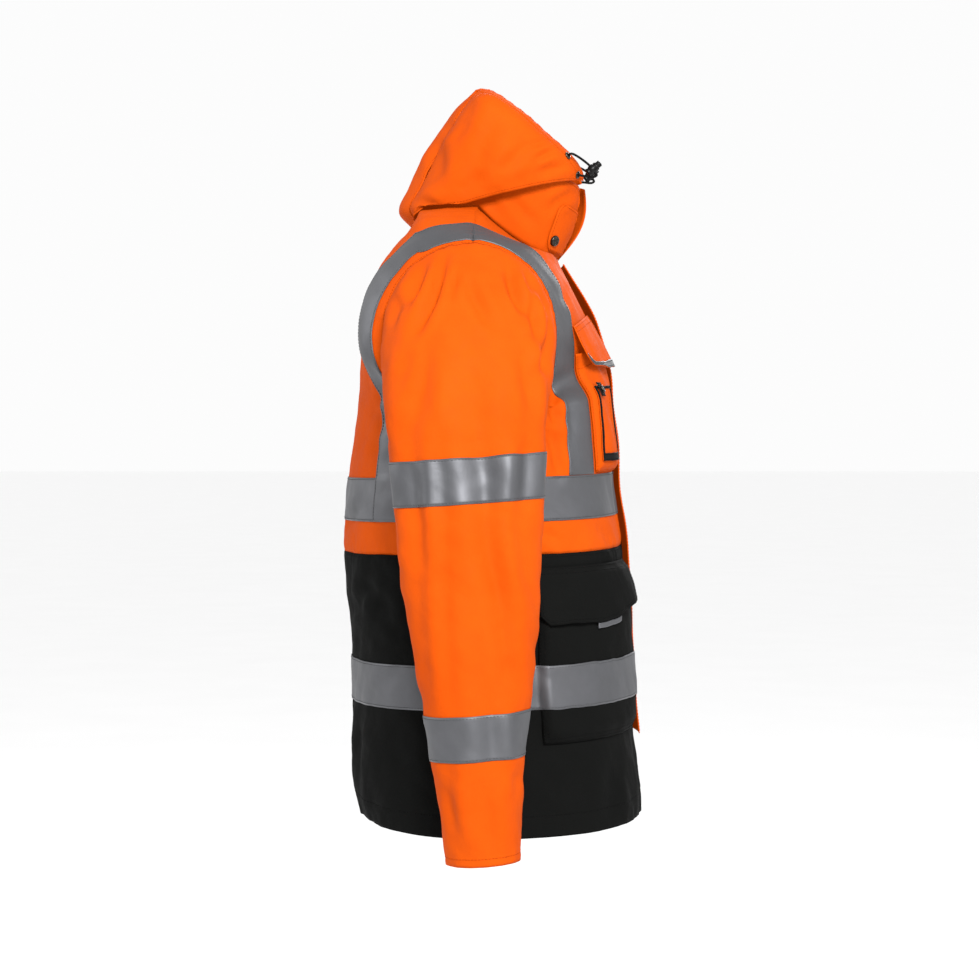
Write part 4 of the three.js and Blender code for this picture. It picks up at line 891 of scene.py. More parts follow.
def hood_clear(points: Array) -> Array:
    """Height that the hood keeps over the back's cloth: more beside its centre seam."""
    return CLOTH + 0.6 + 3 * smooth((np.abs(points[..., 0]) - HOOD_SEAM_HALF) / 25)


class Edge(Enum):
    """An edge of a grid."""

    LOW = "low"
    HIGH = "high"
    NEAR = "near"
    FAR = "far"


def reach(grid: Grid, edge: Edge) -> tuple[Array, Array]:
    """Distances over the cloth from an edge, and along it.

    Args:
        grid: the cloth.
        edge: one of its edges.

    Returns:
        Each point's distance from the edge, and its place along it.
    """
    across = np.linalg.norm(np.diff(grid.points, axis=1), axis=-1)
    up = np.linalg.norm(np.diff(grid.points, axis=0), axis=-1)
    along_rows = np.pad(np.cumsum(across, axis=1), ((0, 0), (1, 0)))
    along_columns = np.pad(np.cumsum(up, axis=0), ((1, 0), (0, 0)))
    if edge is Edge.NEAR:
        return along_rows, along_columns
    if edge is Edge.FAR:
        return along_rows[:, -1:] - along_rows, along_columns
    if edge is Edge.LOW:
        return along_columns, along_rows
    return along_columns[-1:] - along_columns, along_rows


@dataclass(frozen=True)
class SewnEdge:
    """How sewing draws cloth in along an edge: a dip at the seam, puckers, and a stitched fold."""

    dip: float = 1.3
    dip_width: float = 4.0
    pucker: float = 0.45
    pucker_length: float = 13.0
    fold: float = 0.0
    fold_depth: float = 0.7

    def press(self, grid: Grid, edge: Edge, phase: float) -> Array:
        """Heights that the sewing gives the grid's points.

        Args:
            grid: the cloth.
            edge: the edge that is sewn.
            phase: where the puckers start.

        Returns:
            A height for each point.
        """
        away, along = reach(grid, edge)
        turn = 2 * math.pi * along / self.pucker_length
        strong = 0.7 + 0.5 * np.sin(along / 53 + 2 * phase)
        wave = np.sin(turn + 1.7 * np.sin(along / 37 + phase) + phase) * strong
        height = -self.dip * np.exp(-(away / self.dip_width) ** 2)
        height = height + self.pucker * wave * np.exp(-((away - 6) / 7) ** 2)
        if self.fold:
            height = height - self.fold_depth * np.exp(-((away - self.fold) / 2.4) ** 2)
        return height


SEAM = SewnEdge()
SOFT_SEAM = SewnEdge(dip=0.6, dip_width=3.0, pucker=0.25)
HEM_EDGE = SewnEdge(dip=0.2, pucker=0.5, pucker_length=21, fold=24)
CUFF_EDGE = SewnEdge(dip=0.2, pucker=0.4, pucker_length=16, fold=9)


def sewn(grid: Grid, edges: dict[Edge, SewnEdge], phase: float = 0.0) -> Grid:
    """The grid with its edges drawn in by sewing."""
    height = np.zeros(grid.points.shape[:2])
    for k, (edge, kind) in enumerate(edges.items()):
        height = height + kind.press(grid, edge, phase + 1.3 * k)
    if grid.closed:
        height[:, -1] = height[:, 0]
    return grid.pressed(height)


class Wire:
    """A node socket whose arithmetic makes math nodes in the same tree."""

    def __init__(self, look: "Look", socket: bpy.types.NodeSocket) -> None:
        """Keeps the tree and the socket."""
        self.look = look
        self.socket = socket

    def _math(self, operation: str, first: "Wire | float", second: "Wire | float" = 0.0) -> "Wire":
        """A math node's result."""
        return self.look.node("ShaderNodeMath", {"operation": operation}, {0: first, 1: second}).out(0)

    def __add__(self, other: "Wire | float") -> "Wire":
        """Sum."""
        return self._math("ADD", self, other)

    def __radd__(self, other: float) -> "Wire":
        """Sum with a number on the left."""
        return self._math("ADD", other, self)

    def __sub__(self, other: "Wire | float") -> "Wire":
        """Difference."""
        return self._math("SUBTRACT", self, other)

    def __rsub__(self, other: float) -> "Wire":
        """Difference from a number."""
        return self._math("SUBTRACT", other, self)

    def __mul__(self, other: "Wire | float") -> "Wire":
        """Product."""
        return self._math("MULTIPLY", self, other)

    def __rmul__(self, other: float) -> "Wire":
        """Product with a number on the left."""
        return self._math("MULTIPLY", other, self)

    def sine(self) -> "Wire":
        """Sine of the value in radians."""
        return self._math("SINE", self)

    def size(self) -> "Wire":
        """The value without its sign."""
        return self._math("ABSOLUTE", self)

    def spread(self, low: float, high: float, to_low: float = 0.0, to_high: float = 1.0) -> "Wire":
        """The value stretched from one range onto another, and held inside it."""
        inputs = {"Value": self, "From Min": low, "From Max": high, "To Min": to_low, "To Max": to_high}
        return self.look.node("ShaderNodeMapRange", {"clamp": True}, inputs).out("Result")


class Made:
    """A node that has been made."""

    def __init__(self, look: "Look", node: bpy.types.Node) -> None:
        """Keeps the tree and the node."""
        self.look = look
        self.node = node

    def out(self, name: int | str) -> Wire:
        """One of its outputs."""
        return Wire(self.look, self.node.outputs[name])


class Look:
    """A material's node tree while it is written."""

    def __init__(self, name: str) -> None:
        """Makes the material with an output node only."""
        self.material = bpy.data.materials.new(name)
        self.material.use_nodes = True
        self.tree = self.material.node_tree
        self.tree.nodes.clear()
        self.surface = self.tree.nodes.new("ShaderNodeOutputMaterial")
        self.place = self.node("ShaderNodeTexCoord", {}, {}).out("Object")

    def node(self, kind: str, settings: dict[str, object], inputs: dict[int | str, object]) -> Made:
        """Makes a node.

        Args:
            kind: the node's type.
            settings: its own settings, which are given before its inputs.
            inputs: values or wires for its inputs.

        Returns:
            The node.
        """
        node = self.tree.nodes.new(kind)
        for name, value in settings.items():
            setattr(node, name, value)
        for name, value in inputs.items():
            if isinstance(value, Wire):
                self.tree.links.new(value.socket, node.inputs[name])
            else:
                node.inputs[name].default_value = value
        return Made(self, node)

    def cloth(self) -> tuple[Wire, Wire]:
        """Distances over the cloth in metres, across and along it."""
        spot = self.node("ShaderNodeAttribute", {"attribute_name": "cloth"}, {}).out("Vector")
        parts = self.node("ShaderNodeSeparateXYZ", {}, {0: spot})
        return parts.out("X"), parts.out("Y")

    def noise(self, scale: float, detail: float = 2.0, roughness: float = 0.5, distortion: float = 0.0) -> Wire:
        """A cloudy value around one half."""
        inputs = {
            "Vector": self.place, "Scale": scale, "Detail": detail, "Roughness": roughness,
            "Distortion": distortion,
        }
        return self.node("ShaderNodeTexNoise", {}, inputs).out("Fac")

    def tint(self, factor: Wire | float, first: object, second: object) -> Wire:
        """A colour between two colours."""
        inputs = {"Factor": factor, "A": first, "B": second}
        made = self.node("ShaderNodeMix", {"data_type": "RGBA"}, {})
        for name, value in inputs.items():
            open_ones = (s for s in made.node.inputs if s.type in ("RGBA", "VALUE") and s.enabled)
            socket = next(s for s in open_ones if s.name == name)
            if isinstance(value, Wire):
                self.tree.links.new(value.socket, socket)
            else:
                socket.default_value = value
        return Wire(self, next(s for s in made.node.outputs if s.type == "RGBA"))

    def bump(self, height: Wire, strength: float, distance: float, over: Wire | None = None) -> Wire:
        """A normal bent by a height, on top of a finer relief where one is given."""
        inputs = {"Strength": strength, "Distance": distance, "Height": height}
        if over is not None:
            inputs["Normal"] = over
        return self.node("ShaderNodeBump", {}, inputs).out("Normal")

    def done(self, **inputs: object) -> bpy.types.Material:
        """Ends with the surface shader.

        Args:
            inputs: its inputs, by name with spaces as underlines.

        Returns:
            The material.
        """
        named = {name.replace("_", " "): value for name, value in inputs.items()}
        shader = self.node("ShaderNodeBsdfPrincipled", {}, named)
        self.tree.links.new(shader.out("BSDF").socket, self.surface.inputs["Surface"])
        return self.material


Colour = tuple[float, float, float, float]


@dataclass(frozen=True)
class ShellCloth:
    """Plain matt woven shell cloth, slightly mottled and rumpled, with an optional glow in its own colour that is
    painted fill light.
    """

    name: str
    base: Colour
    worn: Colour
    roughness: float = 0.72
    thread: float = 0.0006
    # Emission in the cloth's own colour: painted fill light, a glow without a lamp
    painted_fill_glow: float = 0.0
    gloss: float = 0.04

    def build(self) -> bpy.types.Material:
        """Writes the material."""
        look = Look(self.name)
        across, along = look.cloth()
        turn = 2 * math.pi / self.thread
        weave = (across * turn).sine() * (along * turn).sine()
        cloud = look.noise(9.0, 3.0, 0.6)
        grain = look.noise(60.0, 3.0, 0.6)
        colour = look.tint(cloud.spread(0.35, 0.75) * 0.7 + grain.spread(0.3, 0.8) * 0.3, self.base, self.worn)
        crinkle = look.noise(38.0, 4.0, 0.62, 0.6)
        rumple = look.noise(15.0, 2.0, 0.5, 0.4)
        fine = look.bump(weave * 0.5 + 0.5, 0.10, 0.0002)
        soft = look.bump(crinkle * 0.45 + rumple, 0.6, 0.0034, fine)
        # The emission is painted fill light
        return look.done(
            Base_Color=colour, Roughness=grain.spread(0.2, 0.8, self.roughness - 0.06, self.roughness + 0.08),
            Normal=soft, Emission_Color=colour,
            Emission_Strength=self.painted_fill_glow, Specular_IOR_Level=self.gloss,
        )


@dataclass(frozen=True)
class ReflectiveTape:
    """Grey reflective tape: glass beads on cloth, slightly rubbed."""

    name: str
    base: Colour
    rubbed: Colour

    def build(self) -> bpy.types.Material:
        """Writes the material."""
        look = Look(self.name)
        across, along = look.cloth()
        lattice = (((across + along) * 2100).sine() * ((across - along) * 2100).sine()).size()
        cloud = look.noise(26.0, 3.0, 0.6)
        colour = look.tint(cloud.spread(0.3, 0.75), self.base, self.rubbed)
        ripple = look.noise(30.0, 3.0, 0.55, 0.5)
        fine = look.bump(lattice, 0.08, 0.0002)
        soft = look.bump(ripple, 0.5, 0.0012, fine)
        return look.done(
            Base_Color=colour, Metallic=cloud.spread(0.2, 0.8, 0.82, 0.92),
            Roughness=ripple.spread(0.2, 0.8, 0.55, 0.64), Normal=soft, Specular_IOR_Level=0.15,
        )


@dataclass(frozen=True)
class Webbing:
    """Ribbed woven band or binding."""

    name: str
    base: Colour
    worn: Colour
    rib: float = 0.0012

    def build(self) -> bpy.types.Material:
        """Writes the material."""
        look = Look(self.name)
        across, along = look.cloth()
        turn = math.pi / self.rib
        ribs = (along * (2 * turn)).sine() * 0.5 + (across * (1.3 * turn)).sine() * 0.2
        cloud = look.noise(50.0, 3.0)
        colour = look.tint(cloud.spread(0.3, 0.8), self.base, self.worn)
        normal = look.bump(ribs + cloud, 0.35, 0.0003)
        rough = cloud.spread(0.2, 0.8, 0.7, 0.85)
        return look.done(Base_Color=colour, Roughness=rough, Normal=normal, Specular_IOR_Level=0.06)


@dataclass(frozen=True)
class Braid:
    """Braided cord cover."""

    name: str
    base: Colour
    worn: Colour

    def build(self) -> bpy.types.Material:
        """Writes the material."""
        look = Look(self.name)
        strands = look.node("ShaderNodeTexVoronoi", {}, {"Vector": look.place, "Scale": 900.0}).out("Distance")
        cloud = look.noise(120.0, 2.0)
        colour = look.tint(cloud.spread(0.3, 0.8), self.base, self.worn)
        normal = look.bump(strands, 0.6, 0.0003)
        return look.done(Base_Color=colour, Roughness=0.7, Normal=normal, Specular_IOR_Level=0.06)


@dataclass(frozen=True)
class Moulded:
    """Moulded plastic with a faint grain."""

    name: str
    base: Colour
    worn: Colour
    roughness: float = 0.42
    gloss: float = 0.3

    def build(self) -> bpy.types.Material:
        """Writes the material."""
        look = Look(self.name)
        cloud = look.noise(90.0, 3.0)
        colour = look.tint(cloud.spread(0.35, 0.8), self.base, self.worn)
        normal = look.bump(look.noise(700.0, 2.0), 0.15, 0.0002)
        rough = cloud.spread(0.2, 0.8, self.roughness - 0.06, self.roughness + 0.08)
        return look.done(Base_Color=colour, Roughness=rough, Normal=normal, Specular_IOR_Level=self.gloss)


@dataclass(frozen=True)
class DarkMetal:
    """Dark oxidised metal, lighter where it is rubbed."""

    name: str
    base: Colour
    worn: Colour

    def build(self) -> bpy.types.Material:
        """Writes the material."""
        look = Look(self.name)
        cloud = look.noise(220.0, 4.0, 0.6)
        colour = look.tint(cloud.spread(0.45, 0.75), self.base, self.worn)
        rough = cloud.spread(0.2, 0.8, 0.28, 0.48)
        return look.done(Base_Color=colour, Metallic=0.85, Roughness=rough)


@dataclass(frozen=True)
class Paper:
    """Plain matt floor."""

    name: str
    base: Colour

    def build(self) -> bpy.types.Material:
        """Writes the material."""
        look = Look(self.name)
        cloud = look.noise(3.0, 2.0)
        colour = look.tint(cloud.spread(0.3, 0.7), self.base, tuple(0.985 * c for c in self.base[:3]) + (1.0,))
        return look.done(Base_Color=colour, Roughness=0.9)


class Finish(Enum):
    """The jacket's finishes and its surroundings'."""

    # The orange's glow of 0.5 is painted fill light
    ORANGE = ShellCloth(
        "orange_shell", (0.235, 0.0275, 0.0003, 1), (0.27, 0.035, 0.0010, 1), 0.75, painted_fill_glow=0.5, gloss=0.03,
    )
    BLACK = ShellCloth("black_shell", (0.0017, 0.0018, 0.0017, 1), (0.0023, 0.0024, 0.0022, 1), 0.85, gloss=0.03)
    # Near-black inner side: painted shade inside the orange panels and sleeves; inside the black panels it is their
    # own black
    PAINTED_INSIDE_SHADE = ShellCloth("painted_inside_shade", (0.003, 0.0027, 0.0025, 1), (0.004, 0.0036, 0.0034, 1), 0.85, gloss=0.03)
    TAPE = ReflectiveTape("reflective_tape", (0.064, 0.065, 0.069, 1), (0.078, 0.079, 0.085, 1))
    BINDING = Webbing("binding", (0.0018, 0.0018, 0.0018, 1), (0.0028, 0.0028, 0.0027, 1))
    ZIP_TAPE = Webbing("zip_tape", (0.002, 0.002, 0.002, 1), (0.003, 0.003, 0.003, 1), rib=0.0009)
    CORD = Braid("cord_cover", (0.0014, 0.0014, 0.0014, 1), (0.0028, 0.0027, 0.0026, 1))
    LOCK = Moulded("lock_plastic", (0.0008, 0.0008, 0.0008, 1), (0.0016, 0.0016, 0.0016, 1), 0.4, 0.12)
    TEETH = Moulded("zip_teeth", (0.002, 0.002, 0.002, 1), (0.004, 0.004, 0.004, 1), 0.36, 0.2)
    METAL = DarkMetal("dark_metal", (0.016, 0.013, 0.010, 1), (0.05, 0.042, 0.032, 1))
    ORANGE_THREAD = Moulded("orange_thread", (0.22, 0.025, 0.0006, 1), (0.25, 0.03, 0.001, 1), 0.7, 0.02)
    BLACK_THREAD = Moulded("black_thread", (0.0026, 0.0026, 0.0026, 1), (0.004, 0.004, 0.004, 1), 0.7, 0.02)
    GREY_THREAD = Moulded("grey_thread", (0.036, 0.037, 0.039, 1), (0.05, 0.051, 0.053, 1), 0.7, 0.02)
    FLOOR = Paper("floor_paper", (0.96, 0.96, 0.96, 1.0))


class Shop:
    """Where pieces are made up: it keeps the finishes that have been built."""

    def __init__(self) -> None:
        """Starts with no finish built."""
        self.built: dict[Finish, bpy.types.Material] = {}

    def material(self, finish: Finish) -> bpy.types.Material:
        """A finish's material, built once."""
        if finish not in self.built:
            self.built[finish] = finish.value.build()
        return self.built[finish]

    def piece(
        self,
        name: str,
        bm: bmesh.types.BMesh,
        finishes: Sequence[Finish],
        slot: str,
        nodes: Sequence[str] = (),
    ) -> bpy.types.Object:
        """Puts a finished mesh into the scene as a piece of the jacket.

        Args:
            name: the piece's name.
            bm: its mesh, which is freed.
            finishes: its finishes, the outer one first.
            slot: the name of its finish, which is passed on and not used.
            nodes: solids that it stands for.

        Returns:
            The object, which moves with the jacket.
        """
        for face in bm.faces:
            face.smooth = True
        mesh = bpy.data.meshes.new(name)
        bm.to_mesh(mesh)
        bm.free()
        for finish in finishes:
            mesh.materials.append(self.material(finish))
        return self.take(bpy.data.objects.new(name, mesh), slot, nodes)

    def take(self, obj: bpy.types.Object, slot: str, nodes: Sequence[str]) -> bpy.types.Object:
        """Links an object as a piece of the jacket."""
        bpy.context.scene.collection.objects.link(obj)
        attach(obj, "root")
        if nodes:
            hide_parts(*nodes)
        LOG.info("made %s", obj.name)
        return obj

    def cloth(
        self,
        name: str,
        grids: Sequence[Grid],
        finish: Finish,
        slot: str,
        nodes: Sequence[str],
        held: str = "hung",
        rests_on: Sequence[str] = ("wearer_shoulders",),
        thick: float = SHELL,
        painted_inside_shade: Finish | None = None,
    ) -> bpy.types.Object:
        """Makes a cloth piece from one or two grids.

        Args:
            name: the piece's name.
            grids: its surface; the halves of two grids meet in the middle.
            finish: its outer finish.
            slot: the name of its finish, which is passed on and not used.
            nodes: solids that it stands for.
            held: how the cloth is held; not used.
            rests_on: what it lies on or hangs from; not used.
            thick: its thickness in millimetres.
            painted_inside_shade: the finish of its inner side; near black, which on the orange pieces is painted shade
                of their inside.

        Returns:
            The object.
        """
        bm = bmesh.new()
        for grid in grids:
            add_grid(bm, grid)
        bmesh.ops.remove_doubles(bm, verts=bm.verts[:], dist=0.02 * MM)
        finishes = [finish] if painted_inside_shade is None else [finish, painted_inside_shade]
        piece = self.piece(name, bm, finishes, slot, nodes)
        shell = piece.modifiers.new("shell", "SOLIDIFY")
        shell.thickness = thick * MM
        shell.offset = -1
        if painted_inside_shade is not None:
            shell.material_offset = 1
        sizes = [grid.size() for grid in grids]
        flat = (sum(w for w, _ in sizes), max(h for _, h in sizes))
        area = sum(grid.smooth_area for grid in grids)
        if min(flat) > NARROWEST_CUT:
            min(area, flat[0] * flat[1])
        FLAT_SIZES.append((name, flat[0], flat[1], area))
        return piece


FLAT_SIZES: list[tuple[str, float, float, float]] = []
# A band narrower than this, in metres, is a trim and no cut sheet of its own
NARROWEST_CUT = 0.0101


def add_grid(bm: bmesh.types.BMesh, grid: Grid) -> None:
    """Adds a grid's surface to a mesh, with the lengths over its cloth kept at each point.

    Args:
        bm: the mesh.
        grid: the cloth, in millimetres.
    """
    rows, columns = grid.points.shape[:2]
    layer = bm.verts.layers.float_vector.get("cloth") or bm.verts.layers.float_vector.new("cloth")
    new = bmesh.ops.create_grid(bm, x_segments=columns - 1, y_segments=rows - 1, size=1)["verts"]
    along, up = reach(grid, Edge.NEAR)
    places = (grid.points * MM).reshape(-1, 3)
    lengths = np.stack([along * MM, up * MM], axis=-1).reshape(-1, 2)
    for vert, place, (u, v) in zip(new, places, lengths):
        vert.co = place
        vert[layer] = (u, v, 0.0)
    if grid.turned:
        faces = {face for vert in new for face in vert.link_faces}
        bmesh.ops.reverse_faces(bm, faces=list(faces))


Line = tuple[Array, Array]


def seam_line(grid: Grid, edge: Edge, inset: float) -> Line:
    """A line that follows an edge of a grid at a distance.

    Args:
        grid: the cloth.
        edge: the edge.
        inset: the line's distance from it.

    Returns:
        The line's points and their normals.
    """
    away, _ = reach(grid, edge)
    points, normals = grid.points, grid.normals
    if edge in (Edge.LOW, Edge.HIGH):
        away, points, normals = away.T, points.swapaxes(0, 1), normals.swapaxes(0, 1)
    if edge in (Edge.HIGH, Edge.FAR):
        away, points, normals = away[:, ::-1], points[:, ::-1], normals[:, ::-1]

    def across(values: Array) -> Array:
        """Values on the line."""
        return np.array([[np.interp(inset, a, v[:, k]) for k in range(3)] for a, v in zip(away, values)])

    return across(points), unit(across(normals))


def matrix_on(point: Array, way: Array) -> Matrix:
    """A place in metres whose Z axis points along a direction."""
    turn = Vector(way).to_track_quat("Z", "Y").to_matrix().to_4x4()
    return Matrix.Translation(Vector(point * MM)) @ turn


@dataclass
class Stitching:
    """All stitches of one thread, laid along the seams."""

    name: str
    finish: Finish
    slot: str
    pitch: float = 3.8
    long: float = 2.7
    radius: float = 0.34
    lines: list[Line] = field(default_factory=list)

    def follow(self, grid: Grid, edges: Edge | tuple[Edge, ...], *insets: float) -> None:
        """Adds rows of stitches along one or more edges."""
        several = edges if isinstance(edges, tuple) else (edges,)
        self.lines += [seam_line(grid, edge, inset) for edge in several for inset in insets]

    def build(self, shop: Shop) -> bpy.types.Object:
        """Makes the stitches as small capsules that lie half sunk in the cloth."""
        whole = bmesh.new()
        row = bpy.data.meshes.new("stitch_row")
        for points, normals in self.lines:
            bm = bmesh.new()
            steps = np.linalg.norm(np.diff(points, axis=0), axis=1)
            along = np.concatenate([[0], np.cumsum(steps)])
            for middle in np.arange(self.pitch, along[-1] - self.pitch / 2, self.pitch):
                ends = [np.array([np.interp(middle + half, along, points[:, k]) for k in range(3)])
                        for half in (-self.long / 2, self.long / 2)]
                out = np.array([np.interp(middle, along, normals[:, k]) for k in range(3)])
                if np.linalg.norm(ends[1] - ends[0]) < 0.5:
                    continue
                matrix = matrix_on((ends[0] + ends[1]) / 2 + out * 0.1, ends[1] - ends[0])
                bmesh.ops.create_cone(
                    bm, cap_ends=True, cap_tris=False, segments=5, radius1=self.radius * MM,
                    radius2=self.radius * MM, depth=self.long * MM, matrix=matrix,
                )
            bm.to_mesh(row)
            bm.free()
            whole.from_mesh(row)
        bpy.data.meshes.remove(row)
        return shop.piece(self.name, whole, [self.finish], self.slot)


def turned_body(
    bm: bmesh.types.BMesh, profile: Sequence[tuple[float, float]], matrix: Matrix, steps: int = 28,
) -> None:
    """Adds a body turned about its Z axis.

    Args:
        bm: the mesh that it goes into.
        profile: radius and height pairs in millimetres.
        matrix: its place.
        steps: how many steps the turn has.
    """
    verts = [bm.verts.new((radius * MM, 0, height * MM)) for radius, height in profile]
    edges = [bm.edges.new(pair) for pair in zip(verts, verts[1:])]
    bmesh.ops.spin(
        bm, geom=verts + edges, cent=(0, 0, 0), axis=(0, 0, 1), dvec=(0, 0, 0), angle=2 * math.pi,
        steps=steps, use_merge=True,
    )
    new = set(verts)
    grown = True
    while grown:
        more = {e.other_vert(v) for v in new for e in v.link_edges} - new
        grown = bool(more)
        new |= more
    bmesh.ops.remove_doubles(bm, verts=list(new), dist=0.001 * MM)
    alive = [v for v in new if v.is_valid]
    faces = list({f for v in alive for f in v.link_faces})
    bmesh.ops.recalc_face_normals(bm, faces=faces)
    bmesh.ops.transform(bm, matrix=matrix, verts=alive)


@dataclass
class Body:
    """The body's panels above and below the waist seam, on both sides."""

    front_upper: dict[Hand, Grid] = field(default_factory=dict)
    front_lower: dict[Hand, Grid] = field(default_factory=dict)
    back_upper: dict[Hand, Grid] = field(default_factory=dict)
    back_lower: dict[Hand, Grid] = field(default_factory=dict)

    def cut(self) -> None:
        """Works out the panels' surfaces with their creases and sewing."""
        waist_up, waist_down = WAIST_Z + HALF_GAP, WAIST_Z - HALF_GAP
        upper = body_grid(Side.FRONT, waist_up, FORM.row_top(Side.FRONT), front_near, 78)
        lower = body_grid(Side.FRONT, HEM_Z, waist_down, lambda row: ZIP_HALF + SEAM_GAP, 86)
        back = body_grid(Side.BACK, waist_up, FORM.row_top(Side.BACK), lambda row: 0.0, 78)
        low_back = body_grid(Side.BACK, HEM_Z, waist_down, lambda row: 0.0, 82)
        across_up = {Edge.LOW: SEAM, Edge.FAR: SEAM, Edge.HIGH: SEAM}
        across_down = across_up | {Edge.LOW: HEM_EDGE}
        up, down = (edges | {Edge.NEAR: SEAM} for edges in (across_up, across_down))
        for hand in Hand:
            phase = 0.0 if hand is Hand.RIGHT else 2.2
            side = Grid.mirrored if hand is Hand.LEFT else Grid.copied
            self.front_upper[hand] = sewn(side(upper).creased("body", 0.6, phase), up, phase)
            self.front_lower[hand] = sewn(side(lower).creased("body", 0.9, phase + 1), down, phase)
            self.back_upper[hand] = sewn(side(back).creased("body", 0.7, 0.4), across_up, phase)
            self.back_lower[hand] = sewn(side(low_back).creased("body", 1.0, 1.4), across_down, phase)

    def build(self, shop: Shop) -> None:
        """Makes the panels."""
        # The inner side is near black: painted shade inside the orange panels
        for hand in Hand:
            word = hand.word
            shop.cloth(f"front_{word}_upper_cloth", [self.front_upper[hand]], Finish.ORANGE, "orange",
                       [f"front_{word}_upper"], painted_inside_shade=Finish.PAINTED_INSIDE_SHADE)
            shop.cloth(f"front_{word}_lower_cloth", [self.front_lower[hand]], Finish.BLACK, "black",
                       [f"front_{word}_lower"], rests_on=[f"front_{word}_upper_cloth"], painted_inside_shade=Finish.PAINTED_INSIDE_SHADE)
        shop.cloth("back_upper_cloth", list(self.back_upper.values()), Finish.ORANGE, "orange",
                   ["back_upper"], painted_inside_shade=Finish.PAINTED_INSIDE_SHADE)
        shop.cloth("back_lower_cloth", list(self.back_lower.values()), Finish.BLACK, "black",
                   ["back_lower"], rests_on=["back_upper_cloth"], painted_inside_shade=Finish.PAINTED_INSIDE_SHADE)

    def sew(self, orange: Stitching, black: Stitching) -> None:
        """Adds the panels' own rows of stitches."""
        for hand in Hand:
            for grid in (self.front_lower[hand], self.back_lower[hand]):
                black.follow(grid, Edge.LOW, HEM_EDGE.fold)
                black.follow(grid, Edge.HIGH, 3.0)
            for grid in (self.front_upper[hand], self.back_upper[hand]):
                orange.follow(grid, Edge.FAR, 3.0)


@dataclass
class Sleeves:
    """Both sleeves, from the armhole seam to the open cuff."""

    grids: dict[Hand, Grid] = field(default_factory=dict)

    def cut(self) -> None:
        """Works out the sleeves' surfaces."""
        right = sleeve_grid()
        edges = {Edge.LOW: CUFF_EDGE, Edge.HIGH: SEAM}
        self.grids[Hand.LEFT] = sewn(right.mirrored().creased("sleeve_left", 0.8, 2.9), edges, 1.1)
        self.grids[Hand.RIGHT] = sewn(right.creased("sleeve_right", 0.8, 0.5), edges, 0.0)

    def build(self, shop: Shop) -> None:
        """Makes the sleeves."""
        # The sleeves' near-black inner side is painted shade
        for hand, grid in self.grids.items():
            shop.cloth(f"sleeve_{hand.word}_cloth", [grid], Finish.ORANGE, "orange", [f"sleeve_{hand.word}"],
                       rests_on=[f"front_{hand.word}_upper_cloth", "back_upper_cloth"], painted_inside_shade=Finish.PAINTED_INSIDE_SHADE)

    def sew(self, orange: Stitching) -> None:
        """Adds the cuffs' and armholes' rows of stitches."""
        for grid in self.grids.values():
            orange.follow(grid, Edge.LOW, CUFF_EDGE.fold)
            orange.follow(grid, Edge.HIGH, 3.0)


TAPE_TOP = TAPE_LIFT + TAPE_THICK


def flat_lift(height: float) -> Callable[[Array, Array], Array]:
    """The same height everywhere."""
    return lambda row, distance: np.full(row.shape, height)


@dataclass(frozen=True)
class PatchPocket:
    """A bag sewn on at three sides, standing proud of the cloth, with its mouth open under a flap."""

    near: float
    far: float
    bottom: float
    top: float
    proud: float
    mouth: float
    ramp: float
    full_row: float
    mouth_row: float
    scaled: bool
    phase: float

    def scale(self, row: Array) -> Array:
        """How far its columns are drawn in on rows."""
        if not self.scaled:
            return np.ones(np.shape(row))
        flat = np.atleast_1d(np.asarray(row, float))
        keys = np.linspace(self.bottom, self.top, 24)
        return np.interp(flat, keys, [FORM.pocket_scale(k) for k in keys]).reshape(np.shape(row))

    def height(self, row: Array, distance: Array) -> Array:
        """Height of its outer face over the cloth; nothing beside it."""
        column = distance / self.scale(row)
        side = np.minimum(column - self.near, self.far - column)
        inside = (side > -0.01) & (row > self.bottom - 0.01) & (row < self.top + 0.01)
        low = smooth((row - self.bottom) / (self.full_row - self.bottom)) ** 0.7
        high = mix(1.0, self.mouth / self.proud, smooth((row - self.mouth_row) / (self.top - self.mouth_row)))
        rise = np.minimum(smooth(side / self.ramp) ** 0.7, low) * high
        wave = 0.9 * np.sin(column / 23 + self.phase) * np.sin(row / 31 + 1.7 * self.phase)
        wave = wave + 0.5 * np.sin(column / 11 - row / 17 + self.phase)
        return np.where(inside, SEAM_GAP + CLOTH + (self.proud - SEAM_GAP + wave) * rise, 0.0)

    def grid(self, cloth: Grid) -> Grid:
        """Its surface over the cloth."""
        rows = np.linspace(self.bottom, self.top, round((self.top - self.bottom) / 3.4))
        columns = round((self.far - self.near) / 3.2)
        return cloth.patch(
            rows, lambda r: self.near * float(self.scale(r)), lambda r: self.far * float(self.scale(r)),
            columns, self.height,
        )


CHEST_BAG = PatchPocket(45, 155, -290, -134, 7, 4, 9, -281, -160, True, 0.6)
LOWER_BAG = PatchPocket(64, 262, -592, -404, 8, 5, 10, -574, -438, False, 1.9)
LOWER_BAG_LEFT = replace(LOWER_BAG, phase=4.1)


@dataclass(frozen=True)
class FlapRow:
    """A row of a pocket flap: its height and how far it stands off, with its own values at the ends."""

    z: float
    off: float
    near: float | None = None
    far: float | None = None
    near_off: float | None = None


